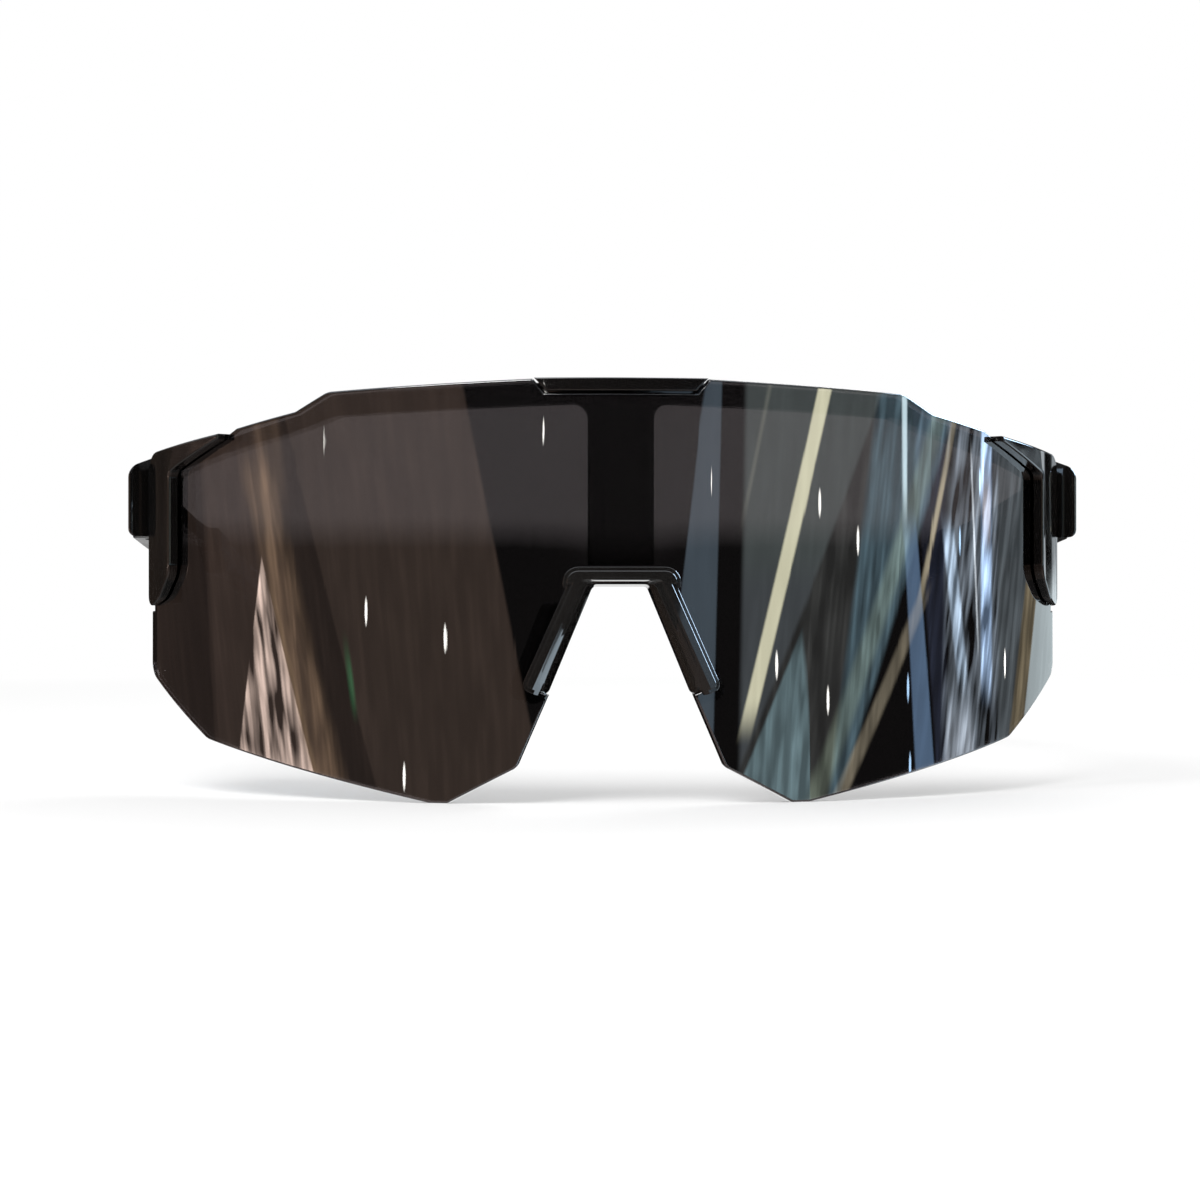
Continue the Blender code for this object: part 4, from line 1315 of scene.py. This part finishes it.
# Panes of light and haze in the room that the lens mirrors, in degrees of azimuth and height. Each has
# a left and a right side with their leans, its foot and top, a colour, a share of grain and how soft its
# sides are.
room_panes = (
    # the left: haze with a dim band, a tan glow with a brighter edge, and a mottled wedge
    (-102.0, -1.0, -75.0, -3.2, -60.0, 20.0, (0.185, 0.125, 0.100), 0.12, 1.2),
    (-75.0, -3.2, -65.2, -3.2, -60.0, 20.0, (0.110, 0.075, 0.060), 0.15, 0.6),
    (-65.2, -3.2, -22.5, -2.2, -60.0, 20.0, (0.205, 0.142, 0.112), 0.12, 0.5),
    (-125.0, 0.0, -102.0, -1.0, -60.0, 20.0, (0.075, 0.050, 0.040), 0.10, 0.6),
    (-160.0, 0.0, -125.0, 0.0, -30.0, 30.0, (0.030, 0.021, 0.016), 0.10, 4.0),
    (-81.3, -3.3, -73.0, -3.2, -12.0, 2.8, (0.420, 0.270, 0.165), 0.50, 2.2),
    (-81.3, -3.3, -79.8, -3.3, -12.0, 0.2, (0.400, 0.265, 0.150), 0.30, 0.6),
    (-84.0, -1.0, -74.0, -1.5, 2.0, 6.0, (0.200, 0.130, 0.085), 0.30, 2.0),
    (-85.8, 1.8, -81.3, -3.4, -8.0, 1.2, (2.300, 1.750, 1.500), 1.00, 0.3),
    (-62.7, -1.6, -61.4, -1.6, -2.1, -1.1, (0.020, 0.420, 0.160), 0.30, 0.5),
    # the middle: a slate blue pane, and grey haze with a cream beam
    (16.3, 1.3, 24.6, 0.3, -9.0, 12.0, (0.300, 0.400, 0.500), 0.05, 0.3),
    (30.6, 0.2, 46.0, 4.6, -9.0, 12.0, (0.290, 0.330, 0.360), 0.08, 0.8),
    (30.6, 0.2, 46.0, 4.6, 0.6, 12.0, (0.040, 0.060, 0.030), 0.08, 0.8),
    (26.6, 2.3, 27.4, 2.3, 1.8, 5.0, (0.350, 0.340, 0.260), 0.00, 0.5),
    (37.2, 2.7, 40.4, 2.75, -2.5, 12.0, (3.500, 3.350, 2.300), 0.05, 0.4),
    # the right: dim haze, a teal pane with stripes, and a green beam
    (46.0, 4.6, 58.0, 1.6, -9.0, 12.0, (0.160, 0.165, 0.160), 0.40, 1.0),
    (47.6, 4.6, 44.5, -0.7, -9.0, -0.8, (0.480, 0.780, 0.880), 0.40, 0.5),
    (58.0, 1.6, 70.8, 4.2, -9.0, 12.0, (0.300, 0.490, 0.600), 0.50, 1.0),
    (64.0, 4.4, 68.5, 4.4, -9.0, 5.5, (0.450, 0.560, 0.420), 0.45, 1.3),
    # further right: a cream beam that leans more below, a white edge and a blue band
    (75.9, 3.0, 77.6, 3.0, -0.2, 6.0, (0.950, 0.820, 0.560), 0.30, 0.5),
    (76.2, 3.0, 77.4, 3.0, 0.4, 2.6, (1.200, 1.050, 0.700), 0.10, 0.4),
    (75.6, 5.7, 79.0, 5.7, -4.2, -0.1, (0.760, 0.660, 0.480), 0.35, 0.8),
    (72.0, 0.0, 72.9, 0.0, 1.9, 5.0, (3.000, 3.800, 4.100), 0.00, 0.3),
    (73.0, -0.7, 77.4, -1.1, -9.0, 1.5, (0.420, 0.680, 1.100), 0.08, 0.4),
    (78.5, -1.0, 85.0, 0.0, -9.0, 5.0, (0.060, 0.075, 0.130), 0.50, 0.6),
    # the window: mottled grey with white and blue streaks
    (84.5, 0.3, 104.0, 0.0, -9.0, 6.5, (0.460, 0.540, 0.640), 1.00, 0.9),
    (86.2, -1.6, 89.8, -1.6, -1.5, 1.4, (1.600, 2.100, 2.700), 0.75, 0.6),
    (95.3, -0.65, 95.9, -0.65, -0.8, 2.9, (2.200, 2.400, 2.600), 0.20, 0.25),
    (97.4, 0.0, 101.4, 0.0, -1.8, 3.5, (1.300, 1.900, 2.900), 0.75, 0.6),
    (98.0, 0.0, 101.0, 0.0, 1.3, 2.3, (2.000, 1.700, 1.600), 0.30, 0.5),
    (84.8, 0.0, 94.5, 0.0, -9.0, -2.5, (0.900, 1.000, 1.150), 0.85, 0.8),
    # the same window above and below the lens's view, where it edges the bridge and the clips
    (84.0, 0.0, 118.0, 0.0, -42.0, -10.0, (1.150, 1.400, 1.600), 0.15, 1.0),
    (84.0, 0.0, 128.0, 0.0, 14.0, 42.0, (7.000, 9.600, 12.500), 0.15, 1.0),
    # the far right: grey, brown and pale
    (104.0, 0.0, 116.0, 2.6, -9.0, 9.0, (0.240, 0.280, 0.310), 0.40, 0.9),
    (116.0, 2.6, 122.5, 2.7, -9.0, 1.8, (0.450, 0.370, 0.240), 0.45, 0.6),
    (122.5, 2.7, 142.0, 0.0, -9.0, 0.4, (1.000, 1.150, 1.200), 0.05, 0.5),
    (138.0, 0.0, 156.0, 0.0, -9.0, 14.0, (0.550, 0.600, 0.640), 0.30, 3.0),
    # the pale floor behind
    (172.0, 0.0, 182.0, 0.0, -34.0, -6.0, (0.900, 0.900, 0.900), 0.00, 2.0),
    (-182.0, 0.0, -172.0, 0.0, -34.0, -6.0, (0.900, 0.900, 0.900), 0.00, 2.0),
)
pane_end = 0.55
grain_fan = 0.02
streak_spacing = 1.5
streak_stretch = 0.30
blotch_spacing = 2.6
blotch_stretch = 1.6
grain_start = 0.36
grain_end = 0.66

# Small lamps in the same room: azimuth and height, and whether it is a bluish one
room_lamps = (
    (-66.1, 3.24, False), (-55.4, -0.24, False), (-36.3, -0.77, False), (-14.1, 3.49, False),
    (-46.0, -3.65, False), (23.2, 2.44, False), (59.2, 1.22, False), (38.7, -1.35, False),
    (51.4, -2.07, False), (49.3, 2.0, False), (107.0, -1.3, False), (96.9, 2.42, True), (89.7, 1.21, True),
    (73.2, -1.82, True), (73.8, -3.43, True),
)
lamp_half_width = 0.34
lamp_half_height = 0.28
lamp_colour = (9.0, 8.8, 8.3)
blue_lamp_colour = (3.0, 4.6, 6.6)

# Large soft lamp overhead and pale floor below, as gloss mirrors them
ceiling_start = 16.0
ceiling_end = 50.0
ceiling_colour = (0.72, 0.75, 0.80)
ground_start = -22.0
ground_end = -48.0
ground_colour = (0.14, 0.14, 0.14)
room_dark = (0.002, 0.002, 0.002)

# Floor: how far from the middle its paint fades to white, and the least share of white
fade_start = 160.0 * mm
fade_end = 600.0 * mm
floor_lift = 0.20

# Background behind the lens: white above, and a painted shade below the horizon
shade_low = 1.05
shade_high = 1.65
painted_shade_tone = 0.10


def value_of(tree, operation, *values):
    """The result of a Math node on some values or links."""
    return add(tree, "ShaderNodeMath", dict(enumerate(values)), operation=operation).outputs["Value"]


def past(tree, place, line, softness):
    """A mask that rises from 0 to 1 over a line in the room, given by its factors of place."""
    off = add(tree, "ShaderNodeVectorMath", {0: place, 1: line}, operation="DOT_PRODUCT").outputs["Value"]
    inputs = {"Value": off, "From Min": -softness, "From Max": softness}
    return add(tree, "ShaderNodeMapRange", inputs, interpolation_type="SMOOTHSTEP").outputs["Result"]


def plus(tree, total, mask, tone):
    """A colour sum with a masked colour added to it."""
    inputs = {0: mask, 1: tone, 2: total}
    return add(tree, "ShaderNodeVectorMath", inputs, operation="MULTIPLY_ADD").outputs["Vector"]


def drawn_out(tree, azimuth, height, spacing, stretch, detail):
    """A noise that is drawn out upright."""
    squeezed = value_of(tree, "MULTIPLY", height, stretch)
    place = add(tree, "ShaderNodeCombineXYZ", {"X": azimuth, "Y": squeezed}).outputs["Vector"]
    return noise(tree, place, spacing, detail)


def room_grain(tree, azimuth, height):
    """Streaks and blotches of light and dark that fan out from the middle."""
    leaning = value_of(tree, "MULTIPLY", azimuth, value_of(tree, "MULTIPLY_ADD", height, -grain_fan, 1.0))
    streaks = drawn_out(tree, leaning, height, streak_spacing, streak_stretch, 1.0)
    blotches = drawn_out(tree, leaning, height, blotch_spacing, blotch_stretch, 1.5)
    streaks = ranged(tree, streaks, 0.5, 1.5, grain_start, grain_end)
    blotches = ranged(tree, blotches, 0.0, 2.0, grain_start, grain_end)
    return value_of(tree, "MULTIPLY", streaks, blotches)


def pane_mask(tree, place, pane):
    """Where a pane of the room is."""
    left, left_lean, right, right_lean, foot, top, softness = pane
    mask = past(tree, place, (1, -left_lean, -left), softness)
    for line, soft in (
        ((-1, right_lean, right), softness),
        ((0, 1, -foot), pane_end),
        ((0, -1, top), pane_end),
    ):
        mask = value_of(tree, "MULTIPLY", mask, past(tree, place, line, soft))
    return mask


def lamp_mask(tree, place, azimuth, height):
    """A small upright spot of light."""
    centred = add(
        tree, "ShaderNodeMapping",
        {
            "Vector": place,
            "Location": (-azimuth / lamp_half_width, -height / lamp_half_height, 0),
            "Scale": (1 / lamp_half_width, 1 / lamp_half_height, 0),
        },
    ).outputs["Vector"]
    away = add(tree, "ShaderNodeVectorMath", {0: centred}, operation="LENGTH").outputs["Value"]
    return ranged(tree, away, 1.0, 0.0, 0.6, 1.2)


def mirrored_room(tree, azimuth, height):
    """The dim room with bright panes and small lamps that glossy surfaces mirror."""
    place = add(tree, "ShaderNodeCombineXYZ", {"X": azimuth, "Y": height, "Z": 1.0}).outputs["Vector"]
    grain = room_grain(tree, azimuth, height)
    total = room_dark
    for *sides, tone, rough, softness in room_panes:
        mask = pane_mask(tree, place, (*sides, softness))
        if rough > 0:
            mottling = value_of(tree, "MULTIPLY_ADD", grain, rough, 1 - rough)
            mask = value_of(tree, "MULTIPLY", mask, mottling)
        total = plus(tree, total, mask, tone)
    for lamp_azimuth, lamp_height, is_blue in room_lamps:
        tone = blue_lamp_colour if is_blue else lamp_colour
        total = plus(tree, total, lamp_mask(tree, place, lamp_azimuth, lamp_height), tone)
    overhead = ranged(tree, height, 0.0, 1.0, ceiling_start, ceiling_end)
    total = plus(tree, total, overhead, ceiling_colour)
    below = ranged(tree, height, 0.0, 1.0, ground_start, ground_end)
    return plus(tree, total, below, ground_colour)


def light_world(settings):
    """White to the camera, soft light on the glasses, a dim room in their gloss, and a painted shade through
    the lens below the horizon.
    """
    world = bpy.data.worlds.new("studio")
    bpy.context.scene.world = world
    world.use_nodes = True
    tree = world.node_tree
    direction = add(tree, "ShaderNodeTexCoord").outputs["Generated"]
    parts = add(tree, "ShaderNodeSeparateXYZ", {"Vector": direction})
    ahead = value_of(tree, "MULTIPLY", parts.outputs["Y"], -1.0)
    azimuth = value_of(tree, "DEGREES", value_of(tree, "ARCTAN2", parts.outputs["X"], ahead))
    height = value_of(tree, "DEGREES", value_of(tree, "ARCSINE", parts.outputs["Z"]))
    # Rays through the lens see a painted shade below the horizon, not a cast shadow
    painted_shade = ranged(tree, height, painted_shade_tone, 1.0, shade_low, shade_high)
    rays = add(tree, "ShaderNodeLightPath").outputs
    ambient = (settings.ambient,) * 3
    tone = blended(tree, rays["Is Glossy Ray"], ambient, mirrored_room(tree, azimuth, height))
    tone = blended(tree, rays["Is Transmission Ray"], tone, painted_shade)
    tone = blended(tree, rays["Is Camera Ray"], tone, (1.0, 1.0, 1.0))
    tree.links.new(tone, tree.nodes["Background"].inputs["Color"])


def pale_floor(settings):
    """Floor paint that fades to the white of the background with distance, and shows a painted shade through
    the lens.
    """
    made, tree, shader, place = new_material("pale_floor")
    tree.nodes.remove(shader)
    away = add(tree, "ShaderNodeVectorMath", {0: place}, operation="LENGTH").outputs["Value"]
    rays = add(tree, "ShaderNodeLightPath").outputs
    paint = add(tree, "ShaderNodeBsdfDiffuse", {"Color": (*settings.floor_colour, 1)}).outputs["BSDF"]
    white = add(tree, "ShaderNodeEmission", {"Strength": 1.0}).outputs["Emission"]
    # Through the lens the floor glows a flat painted shade instead of its lit paint
    shade = add(tree, "ShaderNodeEmission", {"Strength": painted_shade_tone}).outputs["Emission"]
    lift = ranged(tree, away, floor_lift, 1.0, fade_start, fade_end)
    fade = value_of(tree, "MULTIPLY", lift, rays["Is Camera Ray"])
    seen = add(tree, "ShaderNodeMixShader", {0: fade, 1: paint, 2: white}).outputs["Shader"]
    behind_lens = rays["Is Transmission Ray"]
    both = add(tree, "ShaderNodeMixShader", {0: behind_lens, 1: seen, 2: shade}).outputs["Shader"]
    tree.links.new(both, tree.nodes["Material Output"].inputs["Surface"])
    return made


def add_lamp(name, place, width, power):
    """A soft square lamp that points at the glasses."""
    data = bpy.data.lights.new(name, "AREA")
    data.size = width
    data.energy = power
    lamp = bpy.data.objects.new(name, data)
    bpy.context.scene.collection.objects.link(lamp)
    lamp.location = place
    lamp.rotation_euler = (camera_target - place).to_track_quat("-Z", "Y").to_euler()


class GLASSES_OT_stage(bpy.types.Operator):
    """Sets the floor, the light and the camera"""

    bl_idname = "glasses.stage"
    bl_label = "Stage"

    def execute(self, context):
        settings = context.scene.glasses_stage
        deselect()
        bpy.ops.mesh.primitive_circle_add(
            vertices=floor_sides, radius=floor_radius, fill_type="NGON", location=(0, 0, 0)
        )
        floor = context.object
        floor.name = "floor"
        floor.data.materials.append(pale_floor(settings))
        floor.visible_glossy = False
        light_world(settings)
        add_lamp("key", key_place, key_width, settings.key_power)
        add_lamp("rim", rim_place, rim_width, settings.rim_power)
        data = bpy.data.cameras.new("camera")
        data.lens = settings.focal_length
        data.sensor_width = sensor_width
        camera = bpy.data.objects.new("camera", data)
        context.scene.collection.objects.link(camera)
        turn = settings.azimuth
        camera.location = camera_target + Vector((math.sin(turn), -math.cos(turn), 0)) * settings.distance
        camera.rotation_euler = (math.pi / 2, 0, turn)
        context.scene.camera = camera
        context.scene.view_settings.view_transform = "Standard"
        return {"FINISHED"}


steps = (
    GLASSES_OT_lens,
    GLASSES_OT_frame,
    GLASSES_OT_side_clips,
    GLASSES_OT_nose_bridge,
    GLASSES_OT_nose_pads,
    GLASSES_OT_temples,
    GLASSES_OT_ear_socks,
    GLASSES_OT_hinge_screws,
    GLASSES_OT_hinge_nuts,
    GLASSES_OT_stage,
)
groups = {
    "glasses_lens": LensSettings,
    "glasses_shell": ShellSettings,
    "glasses_rubber": RubberSettings,
    "glasses_metal": MetalSettings,
    "glasses_stage": StageSettings,
}


class GLASSES_PT_panel(bpy.types.Panel):
    """Lists the glasses' pieces and their settings"""

    bl_idname = "GLASSES_PT_panel"
    bl_label = "Cycling Glasses"
    bl_space_type = "VIEW_3D"
    bl_region_type = "UI"
    bl_category = "Glasses"

    def draw(self, context):
        for name, group in groups.items():
            box = self.layout.box()
            for field in group.__annotations__:
                box.prop(getattr(context.scene, name), field)
        column = self.layout.column(align=True)
        for step in steps:
            column.operator(step.bl_idname)


def register():
    """Registers the settings, the operators and the panel."""
    for name, group in groups.items():
        bpy.utils.register_class(group)
        setattr(bpy.types.Scene, name, PointerProperty(type=group))
    for step in (*steps, GLASSES_PT_panel):
        bpy.utils.register_class(step)


def unregister():
    """Takes back what register does."""
    for step in reversed((*steps, GLASSES_PT_panel)):
        bpy.utils.unregister_class(step)
    for name, group in groups.items():
        delattr(bpy.types.Scene, name)
        bpy.utils.unregister_class(group)


def main():
    """Makes every piece and the stage."""
    register()
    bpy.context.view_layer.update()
    for step in steps:
        family, action = step.bl_idname.split(".")
        getattr(getattr(bpy.ops, family), action)()


if __name__ == "__main__":
    main()
